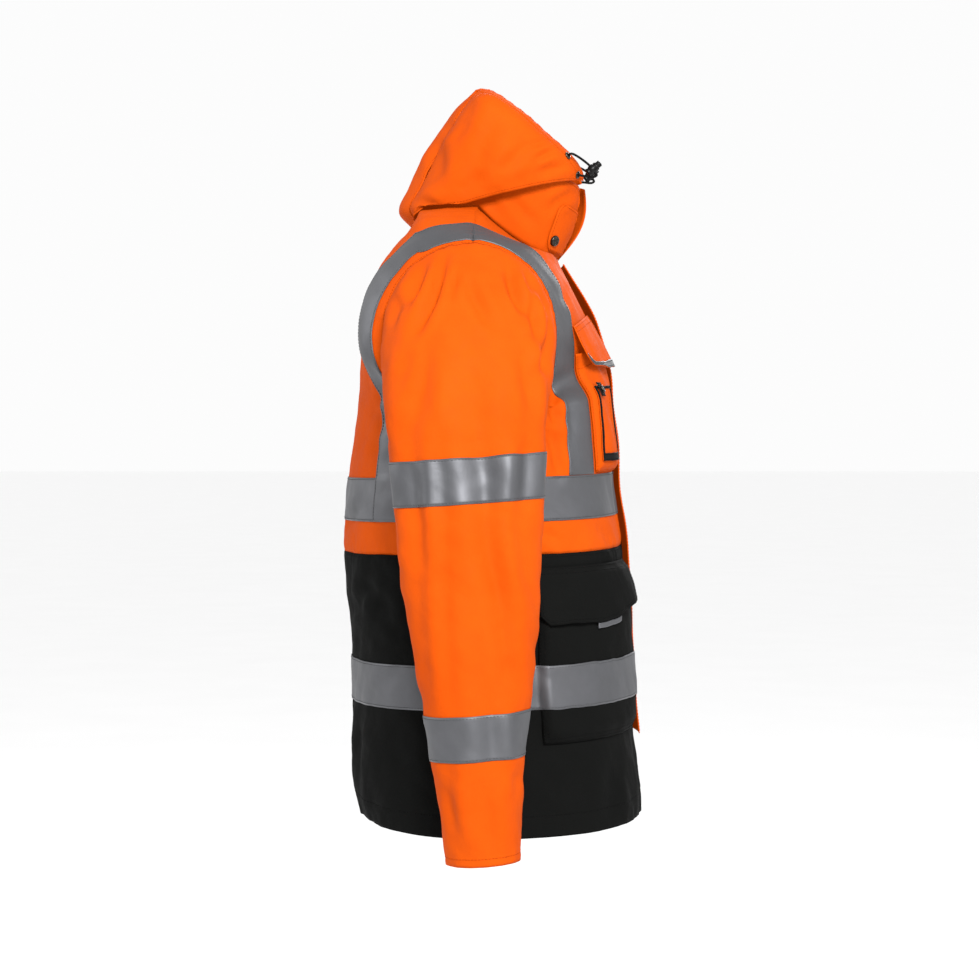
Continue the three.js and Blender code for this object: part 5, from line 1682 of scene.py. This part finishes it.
@dataclass(frozen=True)
class PocketFlap:
    """A flap sewn along its top row and standing off towards its lower edge."""

    near: float
    far: float
    corner: float
    rows: tuple[FlapRow, ...]
    scaled: bool
    round: float
    wave: float
    phase: float

    def grid(self, cloth: Grid) -> Grid:
        """Its surface over the cloth.

        Args:
            cloth: the front panel that it is sewn to.

        Returns:
            The flap's outer face.
        """
        index = np.arange(len(self.rows))
        place = np.linspace(0, len(self.rows) - 1, 26)

        def column(name: str) -> Array:
            """A column of the rows' values, for each fine row."""
            plain = "off" if name == "near_off" else "z"
            values = [getattr(r, name) if getattr(r, name) is not None else getattr(r, plain) for r in self.rows]
            return np.interp(place, index, values)[:, None]

        span = np.linspace(self.near, self.far, 58)[None, :]
        share = (span - self.near) / (self.far - self.near)
        level = mix(column("near"), column("z"), smooth(share * 1.8))
        past = np.clip((span - self.far + self.corner) / self.corner, 0, 1)
        level = mix(level, column("far"), past ** self.round)
        off = mix(column("near_off"), column("off"), smooth(share * 2))
        free = 1 - place[:, None] / place[-1]
        ripple = np.sin(span / 19 + self.phase) + 0.6 * np.sin(span / 8.5 + 2 * self.phase)
        off = off + self.wave * free * ripple
        scale = np.vectorize(FORM.pocket_scale)(level) if self.scaled else 1.0
        points, _ = cloth.sample(level, span * scale, off)
        return Grid(points, cloth.inside, place, 0 * place, 0 * place + 1)


CHEST_FLAP_ROWS = (
    FlapRow(-168, 18, far=-134), FlapRow(-155, 15, far=-130), FlapRow(-134, 9.6, far=-121), FlapRow(-104, 2.2),
)
LOWER_FLAP_ROWS = (
    FlapRow(-458.5, 14, near=-444, far=-448, near_off=17),
    FlapRow(-438, 14, near=-428, near_off=15),
    FlapRow(-404, 9.6),
    FlapRow(-394, 2.4),
)
CHEST_COVER = PocketFlap(45, 155, 70, CHEST_FLAP_ROWS, True, 1.7, 0.5, 0.8)
LOWER_COVER = PocketFlap(64, 262, 10, LOWER_FLAP_ROWS, False, 1.0, 0.7, 2.0)
LOWER_COVER_LEFT = replace(LOWER_COVER, phase=4.4)


@dataclass
class Tapes:
    """The reflective bands and braces."""

    body: Body
    sleeves: Sleeves
    grids: list[Grid] = field(default_factory=list)
    braces: list[Grid] = field(default_factory=list)

    def strip(
        self, shop: Shop, name: str, parts: Sequence[Grid], lies_on: Sequence[str], brace: bool = False,
    ) -> None:
        """Makes one tape."""
        shop.cloth(f"{name}_strip", parts, Finish.TAPE, "tape", [name], held="laid", rests_on=lies_on,
                   thick=TAPE_THICK)
        (self.braces if brace else self.grids).extend(parts)

    def build(self, shop: Shop) -> None:
        """Makes all tapes."""
        chest_rows = np.linspace(CHEST_TAPE_TOP - TAPE_WIDTH, CHEST_TAPE_TOP, 14)
        lower_rows = np.linspace(LOWER_TAPE_TOP - TAPE_WIDTH, LOWER_TAPE_TOP, 14)
        plain = flat_lift(TAPE_TOP)

        def ends(side: Side) -> Callable[[float], float]:
            """Distance of the side seam on a row."""
            return lambda row: FORM.length(row, side) - HALF_GAP

        backs: dict[str, list[Grid]] = {"chest": [], "lower": []}
        for hand in Hand:
            word = hand.word
            bag = LOWER_BAG if hand is Hand.RIGHT else LOWER_BAG_LEFT

            def over_bag(row: Array, distance: Array, bag: PatchPocket = bag) -> Array:
                """Tape over the pocket, stepping up at its sides."""
                ease = sum(bag.height(row, distance + shift) for shift in (-1.5, 0, 1.5)) / 3
                return np.maximum(ease, bag.height(row, distance)) + TAPE_TOP

            chest = self.body.front_upper[hand].patch(chest_rows, front_near, ends(Side.FRONT), 78, plain)
            self.strip(shop, f"tape_chest_front_{word}", [chest], [f"front_{word}_upper_cloth"])
            low = self.body.front_lower[hand].patch(
                lower_rows, lambda r: ZIP_HALF + SEAM_GAP, ends(Side.FRONT), 130, over_bag)
            self.strip(shop, f"tape_lower_front_{word}", [low], [f"front_{word}_lower_cloth"])
            for key, sheet, rows in (
                ("chest", self.body.back_upper[hand], chest_rows), ("lower", self.body.back_lower[hand], lower_rows),
            ):
                backs[key].append(sheet.patch(rows, lambda r: 0.0, ends(Side.BACK), 82, plain))
            for side, sheet, low_row in (
                (Side.FRONT, self.body.front_upper[hand], CHEST_TAPE_TOP + 0.4),
                (Side.BACK, self.body.back_upper[hand], CHEST_TAPE_TOP - TAPE_WIDTH),
            ):
                top = FORM.row_top(side)
                neck = FORM.neck_top[side]
                rows = np.concatenate([
                    np.linspace(low_row, neck, round((neck - low_row) / 4)), np.linspace(neck, top, 19)[1:],
                ])

                def over_band(row: Array, distance: Array) -> Array:
                    """A brace's height: over the chest band it steps up."""
                    return TAPE_TOP + (TAPE_TOP - 0.1) * smooth((CHEST_TAPE_TOP + 1.5 - row) / 2)

                brace = sheet.patch(
                    rows, lambda r, s=side: FORM.sewn_brace(r, s) - TAPE_WIDTH,
                    lambda r, s=side: FORM.sewn_brace(r, s),
                    15, over_band if side is Side.BACK else plain,
                )
                name = f"brace_{side.name.lower()}_{word}"
                under = f"front_{word}_upper_cloth" if side is Side.FRONT else "back_upper_cloth"
                self.strip(shop, name, [brace], [under], brace=True)
            for place, top in (("upper", UPPER_BAND_TOP), ("lower", SLEEVE_BAND_TOP)):
                rows = np.linspace(top - TAPE_WIDTH, top, 14)
                sleeve = self.sleeves.grids[hand]
                ring = sleeve.patch(rows, lambda r: 0.0, lambda r: 360.0, 137, plain)
                ring.points[:, -1] = ring.points[:, 0]
                self.strip(shop, f"tape_sleeve_{place}_{word}", [ring], [f"sleeve_{word}_cloth"])
        self.strip(shop, "tape_chest_back", backs["chest"], ["back_upper_cloth"])
        self.strip(shop, "tape_lower_back", backs["lower"], ["back_lower_cloth"])

    def sew(self, grey: Stitching) -> None:
        """Adds a row of stitches along both edges of each tape."""
        for grid in self.grids:
            grey.follow(grid, (Edge.LOW, Edge.HIGH), TAPE_STITCH)
        for grid in self.braces:
            grey.follow(grid, (Edge.NEAR, Edge.FAR), TAPE_STITCH)


@dataclass
class Collar:
    """The stand collar with its tab and snap."""

    snap_radius: float = 6.5
    snap_high: float = 3.4
    grid: Grid | None = None
    tab: Grid | None = None

    def cut(self) -> None:
        """Works out the collar's and the tab's surfaces."""
        grid = collar_grid().creased("collar", 0.5, 1.0)
        self.grid = sewn(grid, {Edge.LOW: SEAM, Edge.HIGH: SewnEdge(dip=0.4, pucker=0.35, pucker_length=15)}, 0.7)
        low, high = 0.2 / 3, 2 / 3

        def far(row: float) -> float:
            """The tab's rounded free end."""
            side = abs(2 * (row - low) / (high - low) - 1)
            return 0.42 - 0.07 * side ** 4

        self.tab = self.grid.patch(np.linspace(low, high, 18), lambda r: 0.0, far, 20, flat_lift(0.4 + CLOTH))

    def build(self, shop: Shop, orange: Stitching) -> None:
        """Makes the collar, its tab and its snap."""
        shop.cloth("collar_cloth", [self.grid], Finish.ORANGE, "orange", ["collar"],
                   rests_on=["back_upper_cloth"])
        shop.cloth("collar_tab_cloth", [self.tab], Finish.ORANGE, "orange", ["collar_tab"], held="laid",
                   rests_on=["collar_cloth"])
        orange.follow(self.grid, Edge.HIGH, 4.0)
        orange.follow(self.tab, (Edge.LOW, Edge.HIGH, Edge.FAR), 3.0)
        point, normal = self.grid.sample(0.2, 0.345)
        bm = bmesh.new()
        r, h = self.snap_radius, self.snap_high
        turned_body(bm, [
            (0.001, 0), (r - 0.4, 0), (r, 0.4), (r, h * 0.55), (r - 0.5, h * 0.85), (r * 0.78, h), (r * 0.66, h),
            (r * 0.6, h * 0.8), (r * 0.36, h * 0.76), (r * 0.28, h * 0.9), (0.001, h * 0.94),
        ], matrix_on(point + normal * (CLOTH + 0.5), normal))
        shop.piece("collar_snap_button", bm, [Finish.METAL], "snap_metal", ["collar_snap"])


@dataclass
class Hood:
    """The hood: two side panels and a centre panel."""

    sides: dict[Hand, Grid] = field(default_factory=dict)
    centre: Grid | None = None

    def cut(self, body: Body) -> None:
        """Works out the panels' surfaces, clear of the back.

        Args:
            body: the body under the hood's lower edge.
        """
        backs = list(body.back_upper.values())
        steps = np.linspace(0, 1, 62)
        along = np.linspace(0, 1, 66)
        low = int(np.searchsorted(steps, 0.4))
        points = np.stack([hood_side_row(float(s), along) for s in steps])
        points[:low] = clear_of(points[:low], backs, hood_clear(points[:low]))
        inside = (0.0, 0.0, 70.0)
        right = Grid(points, inside, steps, 0 * steps, 0 * steps + 1)
        edges = {Edge.NEAR: SOFT_SEAM, Edge.LOW: SewnEdge(dip=0.3, pucker=0.3, pucker_length=17),
                 Edge.FAR: SewnEdge(dip=0.2, pucker=0.6, pucker_length=15, fold=20)}
        self.sides[Hand.LEFT] = sewn(right.mirrored().creased("hood", 0.8, 2.0), edges, 1.0)
        self.sides[Hand.RIGHT] = sewn(right.creased("hood", 0.8, 0.2), edges, 0.0)
        rows = np.concatenate([steps, np.linspace(1, 1.2, 7)[1:]])
        across = np.linspace(-1, 1, 25)
        points = np.stack([hood_centre_row(float(s), across) for s in rows])
        points[:low] = clear_of(points[:low], backs, hood_clear(points[:low]))
        centre = Grid(points, inside, rows, 0 * rows - 1, 0 * rows + 1)
        self.centre = sewn(centre.creased("hood", 0.5, 3.0), {Edge.NEAR: SOFT_SEAM, Edge.FAR: SOFT_SEAM}, 0.5)

    def build(self, shop: Shop, orange: Stitching) -> None:
        """Makes the panels with their rows of stitches."""
        shop.cloth("hood_centre_cloth", [self.centre], Finish.ORANGE, "orange", ["hood_centre"],
                   rests_on=["back_upper_cloth"])
        orange.follow(self.centre, (Edge.NEAR, Edge.FAR), 3.0)
        for hand, grid in self.sides.items():
            shop.cloth(f"hood_side_{hand.word}_cloth", [grid], Finish.ORANGE, "orange",
                       [f"hood_side_{hand.word}"], rests_on=["back_upper_cloth"])
            orange.follow(grid, Edge.FAR, 3.0, 20.0)
            orange.follow(grid, Edge.NEAR, 3.0)
            orange.follow(grid, Edge.LOW, 3.5)


@dataclass
class FrontClosure:
    """The zip with its teeth, and the storm flap over it."""

    half: float = 35.0
    bottom: float = -605.0
    top: float = -46.0
    tooth_pitch: float = 2.6
    tape_tuck: float = 2.5

    def middle(self, row: float, across: Array) -> Array:
        """Points across the centre front on a row."""
        points = FORM.at(row, Side.FRONT, np.abs(across))
        points[:, 0] = np.sign(across) * np.abs(points[:, 0])
        return points

    def build(self, shop: Shop, orange: Stitching) -> None:
        """Makes the zip tape, its teeth and the flap."""
        rows = np.linspace(HEM_Z, FRONT_NECK_Z, 166)
        wide = ZIP_HALF + self.tape_tuck
        span = np.linspace(-wide, wide, 9)
        tape = Grid(np.stack([self.middle(float(r), span) for r in rows]), (0, 0, -300), rows,
                    0 * rows - wide, 0 * rows + wide)
        tape.pressed(np.tile(-0.5 - 1.6 * smooth((np.abs(span) - 4) / 1.5), (len(rows), 1)))
        shop.cloth("front_zip_tape", [tape], Finish.ZIP_TAPE, "zip_tape", ["front_zip"],
                   rests_on=["front_left_upper_cloth", "front_left_lower_cloth"], thick=0.9)
        bm = bmesh.new()
        for k, row in enumerate(np.arange(HEM_Z + 4, self.top + 6, self.tooth_pitch / 2)):
            hand = 1 if k % 2 else -1
            point, normal = tape.sample(row, 0.0)
            matrix = matrix_on(point + normal * 0.5 + np.array([hand * 0.9, 0, 0]), normal)
            size = Matrix.Diagonal((3.2 * MM, 1.15 * MM, 1.4 * MM, 1))
            bmesh.ops.create_cube(bm, size=1, matrix=matrix @ size)
        shop.piece("front_zip_teeth", bm, [Finish.TEETH], "zip_tape")
        rows = np.linspace(self.bottom, self.top, 150)
        span = np.linspace(-self.half, self.half, 25)
        base = Grid(np.stack([self.middle(float(r), span) for r in rows]), (0, 0, -300), rows,
                    0 * rows - self.half, 0 * rows + self.half)
        share = (span[None, :] + self.half) / (2 * self.half)
        opened = (mix(1, 0.6, smooth((rows + 110) / 60)) * mix(0.72, 1, smooth((rows + 340) / 60)))[:, None]
        lift = mix(8 * opened, 1.9, smooth(share)) + CLOTH
        free = (1 - smooth(share)) * opened
        lift = lift + free * (1.3 * np.sin(rows / 33)[:, None] + 0.8 * np.sin(rows / 14 + 1.0)[:, None])
        flap = base.pressed(lift)
        flap = sewn(flap, {Edge.FAR: SewnEdge(dip=0.6, pucker=0.5, pucker_length=15, fold=9)}, 0.3)
        shop.cloth("storm_flap_cloth", [flap], Finish.ORANGE, "orange", ["storm_flap"],
                   rests_on=["front_left_upper_cloth", "front_left_lower_cloth"])
        orange.follow(flap, Edge.FAR, 3.0, 9.0)
        orange.follow(flap, (Edge.NEAR, Edge.LOW), 4.0)


@dataclass
class ChestPocket:
    """The right chest pocket with its flap and strip, and the narrow holder on it."""

    holder_near: float = 84.0
    holder_far: float = 148.0
    holder_top: float = -190.0
    holder_bottom: float = -278.0
    bind: float = 3.2
    base: float = 9.0
    thick: float = 1.2

    def on_bag(self, over: float) -> Callable[[Array, Array], Array]:
        """Height over the front of something that lies on the pocket."""
        return lambda row, distance: CHEST_BAG.height(row, distance) + over

    def scaled(self, column: float) -> Callable[[float], float]:
        """Distance of a column on a row."""
        return lambda row: column * FORM.pocket_scale(row)

    def build(self, shop: Shop, body: Body, orange: Stitching, black: Stitching, grey: Stitching) -> None:
        """Makes the pocket, its flap, the strip and the holder.

        Args:
            shop: where the pieces go.
            body: the panels that the pocket is sewn to.
            orange: the orange thread.
            black: the black thread.
            grey: the grey thread.
        """
        front = body.front_upper[Hand.RIGHT]
        bag = CHEST_BAG.grid(front)
        shop.cloth("chest_pocket_bag", [bag], Finish.ORANGE, "orange", ["chest_pocket"], held="laid",
                   rests_on=["front_right_upper_cloth"])
        orange.follow(bag, (Edge.NEAR, Edge.FAR, Edge.LOW), 2.5)
        orange.follow(bag, Edge.HIGH, 18.0)
        flap = CHEST_COVER.grid(front)
        shop.cloth("chest_flap_cloth", [flap], Finish.ORANGE, "orange", ["chest_flap"],
                   rests_on=["front_right_upper_cloth"])
        orange.follow(flap, Edge.HIGH, 2.5, 8.0)
        orange.follow(flap, (Edge.NEAR, Edge.FAR), 3.5)
        strip = flap.patch(np.linspace(0, 0.8, 8), lambda r: 0.0, lambda r: 1.0, 58, flat_lift(TAPE_TOP))
        shop.cloth("chest_flap_tape", [strip], Finish.TAPE, "tape", ["chest_flap_strip"], held="laid",
                   rests_on=["chest_flap_cloth"], thick=TAPE_THICK)
        grey.follow(strip, (Edge.LOW, Edge.HIGH), 2.0)
        self.build_holder(shop, front, orange, black)

    def build_holder(self, shop: Shop, front: Grid, orange: Stitching, black: Stitching) -> None:
        """Makes the holder with its binding, base band, tab and snap."""
        near, far, low, top = self.holder_near, self.holder_far, self.holder_bottom, self.holder_top
        rows = np.linspace(low, top, 26)
        panel = front.patch(rows, self.scaled(near), self.scaled(far), 30, self.on_bag(SEAM_GAP + self.thick))
        shop.cloth("holder_panel", [panel], Finish.ORANGE, "orange", ["holder"], held="laid",
                   rests_on=["chest_pocket_bag"], thick=1.0)
        orange.follow(panel, Edge.NEAR, 12.0)
        over = self.on_bag(SEAM_GAP + 2 * self.thick + 0.1)
        bind, base = self.bind, self.base
        spans = {
            "holder_bind_near": (low + base, top - bind, near, near + bind),
            "holder_bind_far": (low + base, top - bind, far - bind, far),
            "holder_bind_top": (top - bind, top, near, far),
            "holder_base": (low, low + base, near, far),
        }
        for name, (z0, z1, c0, c1) in spans.items():
            trim = front.patch(np.linspace(z0, z1, 24 if z1 - z0 > 20 else 5), self.scaled(c0), self.scaled(c1),
                               30 if c1 - c0 > 20 else 5, over)
            shop.cloth(f"{name}_band", [trim], Finish.BINDING, "binding", [name], held="laid",
                       rests_on=["holder_panel"], thick=0.9)
            for edge in ((Edge.NEAR, Edge.FAR) if z1 - z0 > 20 else (Edge.LOW, Edge.HIGH)):
                black.follow(trim, edge, 1.4)
        tab_rows = np.linspace(-203.2, -186.4, 10)
        tab = front.patch(tab_rows, self.scaled(129), self.scaled(143), 8,
                          lambda row, distance: self.on_bag(5.2)(np.minimum(row, -191.0), distance))
        shop.cloth("holder_tab_band", [tab], Finish.BINDING, "binding", ["holder_tab"], held="laid",
                   rests_on=["holder_panel"], thick=1.1)
        point, normal = tab.sample(-195.6, 0.5 * (tab.near[5] + tab.far[5]))
        bm = bmesh.new()
        turned_body(bm, [
            (0.001, 0), (4.2, 0), (4.5, 0.3), (4.5, 1.3), (4.0, 1.9), (3.4, 2.2), (2.9, 2.0), (1.5, 1.9), (0.001, 2.1),
        ], matrix_on(point + normal * 0.1, normal))
        shop.piece("holder_snap_button", bm, [Finish.METAL], "snap_metal", ["holder_snap"])


@dataclass
class LowerPockets:
    """The lower patch pockets with their flaps, and the bare tab under the right one."""

    label_near: float = 141.0
    label_far: float = 187.0
    label_high: float = 6.2

    def build(self, shop: Shop, body: Body, black: Stitching) -> None:
        """Makes both pockets."""
        for hand, bag, cover in (
            (Hand.RIGHT, LOWER_BAG, LOWER_COVER), (Hand.LEFT, LOWER_BAG_LEFT, LOWER_COVER_LEFT),
        ):
            word = hand.word
            front = body.front_lower[hand]
            grid = bag.grid(front)
            shop.cloth(f"lower_pocket_{word}_bag", [grid], Finish.BLACK, "black", [f"lower_pocket_{word}"],
                       held="laid", rests_on=[f"front_{word}_lower_cloth"])
            black.follow(grid, (Edge.NEAR, Edge.FAR, Edge.LOW), 2.5, 8.0)
            black.follow(grid, Edge.HIGH, 18.0)
            flap = cover.grid(front)
            shop.cloth(f"lower_flap_{word}_cloth", [flap], Finish.BLACK, "black", [f"lower_flap_{word}"],
                       rests_on=[f"front_{word}_lower_cloth"])
            black.follow(flap, Edge.HIGH, 2.5, 8.5)
            black.follow(flap, (Edge.NEAR, Edge.FAR, Edge.LOW), 4.0)
        flap = LOWER_COVER.grid(body.front_lower[Hand.RIGHT])
        last, wide = flap.points.shape[1] - 1, LOWER_COVER.far - LOWER_COVER.near
        c0, c1 = (round(last * (d - LOWER_COVER.near) / wide) for d in (self.label_near, self.label_far))
        edge = flap.points[0, c0:c1 + 1]
        out, drop = flap.normals[0, c0:c1 + 1], np.linspace(self.label_high, 0, 5)[:, None, None]
        points = edge - 1.3 * out + np.array([0, 0, -0.6]) - drop * np.array([0, 0, 1.0])
        label = Grid(points, flap.inside, np.arange(5.0), np.zeros(5), np.ones(5))
        shop.cloth("pocket_label_tab", [label], Finish.TAPE, "tape", ["pocket_label"],
                   rests_on=["lower_flap_right_cloth"], thick=0.5)


def smooth_route(route: Array, steps: int) -> Array:
    """Points of a smooth curve through places, with its knots spaced by the roots of the distances.

    Args:
        route: the places.
        steps: how many steps each stretch gets.

    Returns:
        The curve's points.
    """
    ends = np.concatenate([[2 * route[0] - route[1]], route, [2 * route[-1] - route[-2]]])
    result = [route[0]]
    for p0, p1, p2, p3 in zip(ends, ends[1:], ends[2:], ends[3:]):
        d0, d1, d2 = (math.sqrt(np.linalg.norm(b - a)) for a, b in ((p0, p1), (p1, p2), (p2, p3)))
        t1 = ((p1 - p0) / d0 - (p2 - p0) / (d0 + d1) + (p2 - p1) / d1) * d1
        t2 = ((p2 - p1) / d1 - (p3 - p1) / (d1 + d2) + (p3 - p2) / d2) * d1
        for t in np.linspace(0, 1, steps + 1)[1:]:
            result.append(
                p1 * (2 * t ** 3 - 3 * t * t + 1) + t1 * (t ** 3 - 2 * t * t + t)
                + p2 * (3 * t * t - 2 * t ** 3) + t2 * (t ** 3 - t * t)
            )
    return np.array(result)


@dataclass
class DrawCord:
    """The hood's drawcord on one side, with its two eyelets and its barrel lock."""

    hand: Hand
    thickness: float = 2.8
    lock_centre: tuple[float, float, float] = (-42.0, -127.0, 68.0)
    lock_axis: tuple[float, float, float] = (0.0, -0.77, 0.64)
    bore_way: tuple[float, float, float] = (0.0, -0.64, -0.77)
    loop: tuple[tuple[float, float, float], ...] = (
        (-41.8, -132, 61), (-41.4, -130, 59.4), (-40.8, -126.5, 59), (-41, -122, 59.6), (-42, -118, 60),
    )

    def on_hand(self, point: Sequence[float]) -> Array:
        """A point of the right side on this side."""
        return np.array(point, float) * np.array([-self.hand.value, 1, 1])

    def eyelet(self, bm: bmesh.types.BMesh, point: Array, normal: Array) -> None:
        """Adds a flanged eyelet."""
        turned_body(bm, [
            (2.1, -1.6), (2.1, 1.0), (2.4, 1.25), (3.0, 1.3), (4.0, 0.95), (4.6, 0.35), (4.6, 0.0), (2.8, 0.0),
            (2.7, -1.6), (2.1, -1.6),
        ], matrix_on(point + normal * 0.75, normal))

    def build(self, shop: Shop, hood: Hood) -> None:
        """Makes the eyelets, the cord and the lock."""
        word = self.hand.word
        side = hood.sides[self.hand]
        upper, upper_way = side.sample(0.26, 0.9375)
        lower, lower_way = side.sample(0.06, 0.9375)
        for place, point, way in (("upper", upper, upper_way), ("lower", lower, lower_way)):
            bm = bmesh.new()
            self.eyelet(bm, point, way)
            shop.piece(f"eyelet_{place}_{word}_ring", bm, [Finish.METAL], "snap_metal", [f"eyelet_{place}_{word}"])
        centre, axis, bore = self.on_hand(self.lock_centre), np.array(self.lock_axis), np.array(self.bore_way)
        bm = bmesh.new()
        turned_body(bm, [
            (0.001, -8), (3.6, -8), (4.7, -7.4), (5.2, -6.4), (5.2, -4.6), (4.8, -4.2), (4.8, -3.6), (5.2, -3.2),
            (5.2, 3.4), (4.8, 3.8), (4.8, 4.4), (5.2, 4.8), (5.2, 6.2), (4.6, 6.9), (4.1, 7.0), (4.1, 7.4),
            (3.9, 7.6), (3.9, 10.8), (3.4, 11.7), (2.4, 12.0), (0.001, 12.0),
        ], matrix_on(centre, axis))
        for way in (bore, -bore):
            turned_body(bm, [(1.7, 4.2), (2.7, 4.2), (2.7, 5.3), (2.3, 5.7), (1.9, 5.6), (1.7, 5.2)],
                        matrix_on(centre, way))
        lock = shop.piece(f"cord_lock_{word}_barrel", bm, [Finish.LOCK], "lock", [f"cord_lock_{word}"])
        route = np.array([
            upper + upper_way * 0.9, upper + upper_way * 5.9, centre - bore * 6.7, centre, centre + bore * 6.7,
            *(self.on_hand(p) for p in self.loop), lower + lower_way * 3.4, lower + lower_way * 0.9,
        ])
        line = smooth_route(route, 10)
        curve = bpy.data.curves.new(f"hood_cord_{word}_line", "CURVE")
        curve.dimensions = "3D"
        spline = curve.splines.new("POLY")
        spline.points.add(len(line) - 1)
        for spot, place in zip(spline.points, line * MM):
            spot.co = (*place, 1.0)
        curve.bevel_depth = self.thickness / 2 * MM
        curve.bevel_resolution = 4
        curve.use_fill_caps = True
        curve.materials.append(shop.material(Finish.CORD))
        cord = shop.take(bpy.data.objects.new(f"hood_cord_{word}_line", curve), "cord", [f"hood_cord_{word}"])
        length = float(np.linalg.norm(np.diff(line, axis=0), axis=1).sum()) * MM
        LOG.info("cord %s is %.1f mm long", word, length / MM)


@dataclass(frozen=True)
class Lamp:
    """A soft square light."""

    name: str
    place: tuple[float, float, float]
    aim: tuple[float, float, float]
    size: float
    power: float

    def build(self) -> None:
        """Hangs the light."""
        data = bpy.data.lights.new(self.name, "AREA")
        data.shape = "SQUARE"
        data.size = self.size
        data.energy = self.power
        lamp = bpy.data.objects.new(self.name, data)
        lamp.location = self.place
        lamp.rotation_euler = (Vector(self.aim) - Vector(self.place)).to_track_quat("-Z", "Y").to_euler()
        bpy.context.scene.collection.objects.link(lamp)


@dataclass
class Studio:
    """Camera, lights, floor and background."""

    camera_place: tuple[float, float, float] = (-3.2, -0.0054, -0.228)
    camera_aim: tuple[float, float, float] = (0.0, -0.0054, -0.3114)
    lens: float = 2667 / 979 * 36
    floor_z: float = -1.45
    background: float = 0.975
    lamps: tuple[Lamp, ...] = (
        Lamp("key", (-2.3, -0.4, 0.95), (-0.3, 0, -0.2), 0.7, 205),
        Lamp("front_light", (-0.4, -3.2, 1.0), (0, 0, -0.3), 1.4, 45),
        Lamp("back_light", (0.6, 3.2, 0.9), (0, 0, -0.3), 1.4, 75),
        Lamp("far_light", (3.0, -0.6, 1.0), (0, 0, -0.3), 1.4, 110),
    )

    def place_camera(self) -> None:
        """Sets the photo's camera."""
        data = bpy.data.cameras.new("photo_camera")
        data.sensor_width = 36
        data.lens = self.lens
        camera = bpy.data.objects.new("photo_camera", data)
        camera.location = self.camera_place
        aim = Vector(self.camera_aim) - Vector(self.camera_place)
        camera.rotation_euler = aim.to_track_quat("-Z", "Y").to_euler()
        bpy.context.scene.collection.objects.link(camera)
        bpy.context.scene.camera = camera

    def build(self, shop: Shop) -> None:
        """Lays the floor, hangs the lights and sets the background."""
        bm = bmesh.new()
        bmesh.ops.create_grid(bm, x_segments=1, y_segments=1, size=60)
        mesh = bpy.data.meshes.new("floor")
        bm.to_mesh(mesh)
        bm.free()
        for vert in mesh.vertices:
            vert.co.z = self.floor_z
        mesh.materials.append(shop.material(Finish.FLOOR))
        floor = bpy.data.objects.new("floor", mesh)
        bpy.context.scene.collection.objects.link(floor)
        for lamp in self.lamps:
            lamp.build()
        world = bpy.data.worlds.new("pale_room")
        world.use_nodes = True
        tree = world.node_tree
        back = tree.nodes["Background"]
        back.inputs["Color"].default_value = (self.background, self.background, self.background, 1)
        back.inputs["Strength"].default_value = 1.0
        bpy.context.scene.world = world
        bpy.context.scene.view_settings.view_transform = "Standard"


def main() -> None:
    """Builds the jacket, its cords first, and then its surroundings."""
    logging.basicConfig(level=logging.INFO, format="%(message)s")
    studio = Studio()
    studio.place_camera()
    shop = Shop()
    orange = Stitching("orange_stitches", Finish.ORANGE_THREAD, "orange")
    black = Stitching("black_stitches", Finish.BLACK_THREAD, "black")
    grey = Stitching("grey_stitches", Finish.GREY_THREAD, "tape")
    body = Body()
    body.cut()
    hood = Hood()
    hood.cut(body)
    for hand in Hand:
        DrawCord(hand).build(shop, hood)
    body.build(shop)
    body.sew(orange, black)
    sleeves = Sleeves()
    sleeves.cut()
    sleeves.build(shop)
    sleeves.sew(orange)
    tapes = Tapes(body, sleeves)
    tapes.build(shop)
    tapes.sew(grey)
    collar = Collar()
    collar.cut()
    collar.build(shop, orange)
    hood.build(shop, orange)
    FrontClosure().build(shop, orange)
    ChestPocket().build(shop, body, orange, black, grey)
    LowerPockets().build(shop, body, black)
    for thread in (orange, black, grey):
        thread.build(shop)
    studio.build(shop)
    for name, wide, long_, area in FLAT_SIZES:
        LOG.info("%s: cut %.3f x %.3f m, %.4f m2", name, wide, long_, area)


if __name__ == "__main__":
    main()
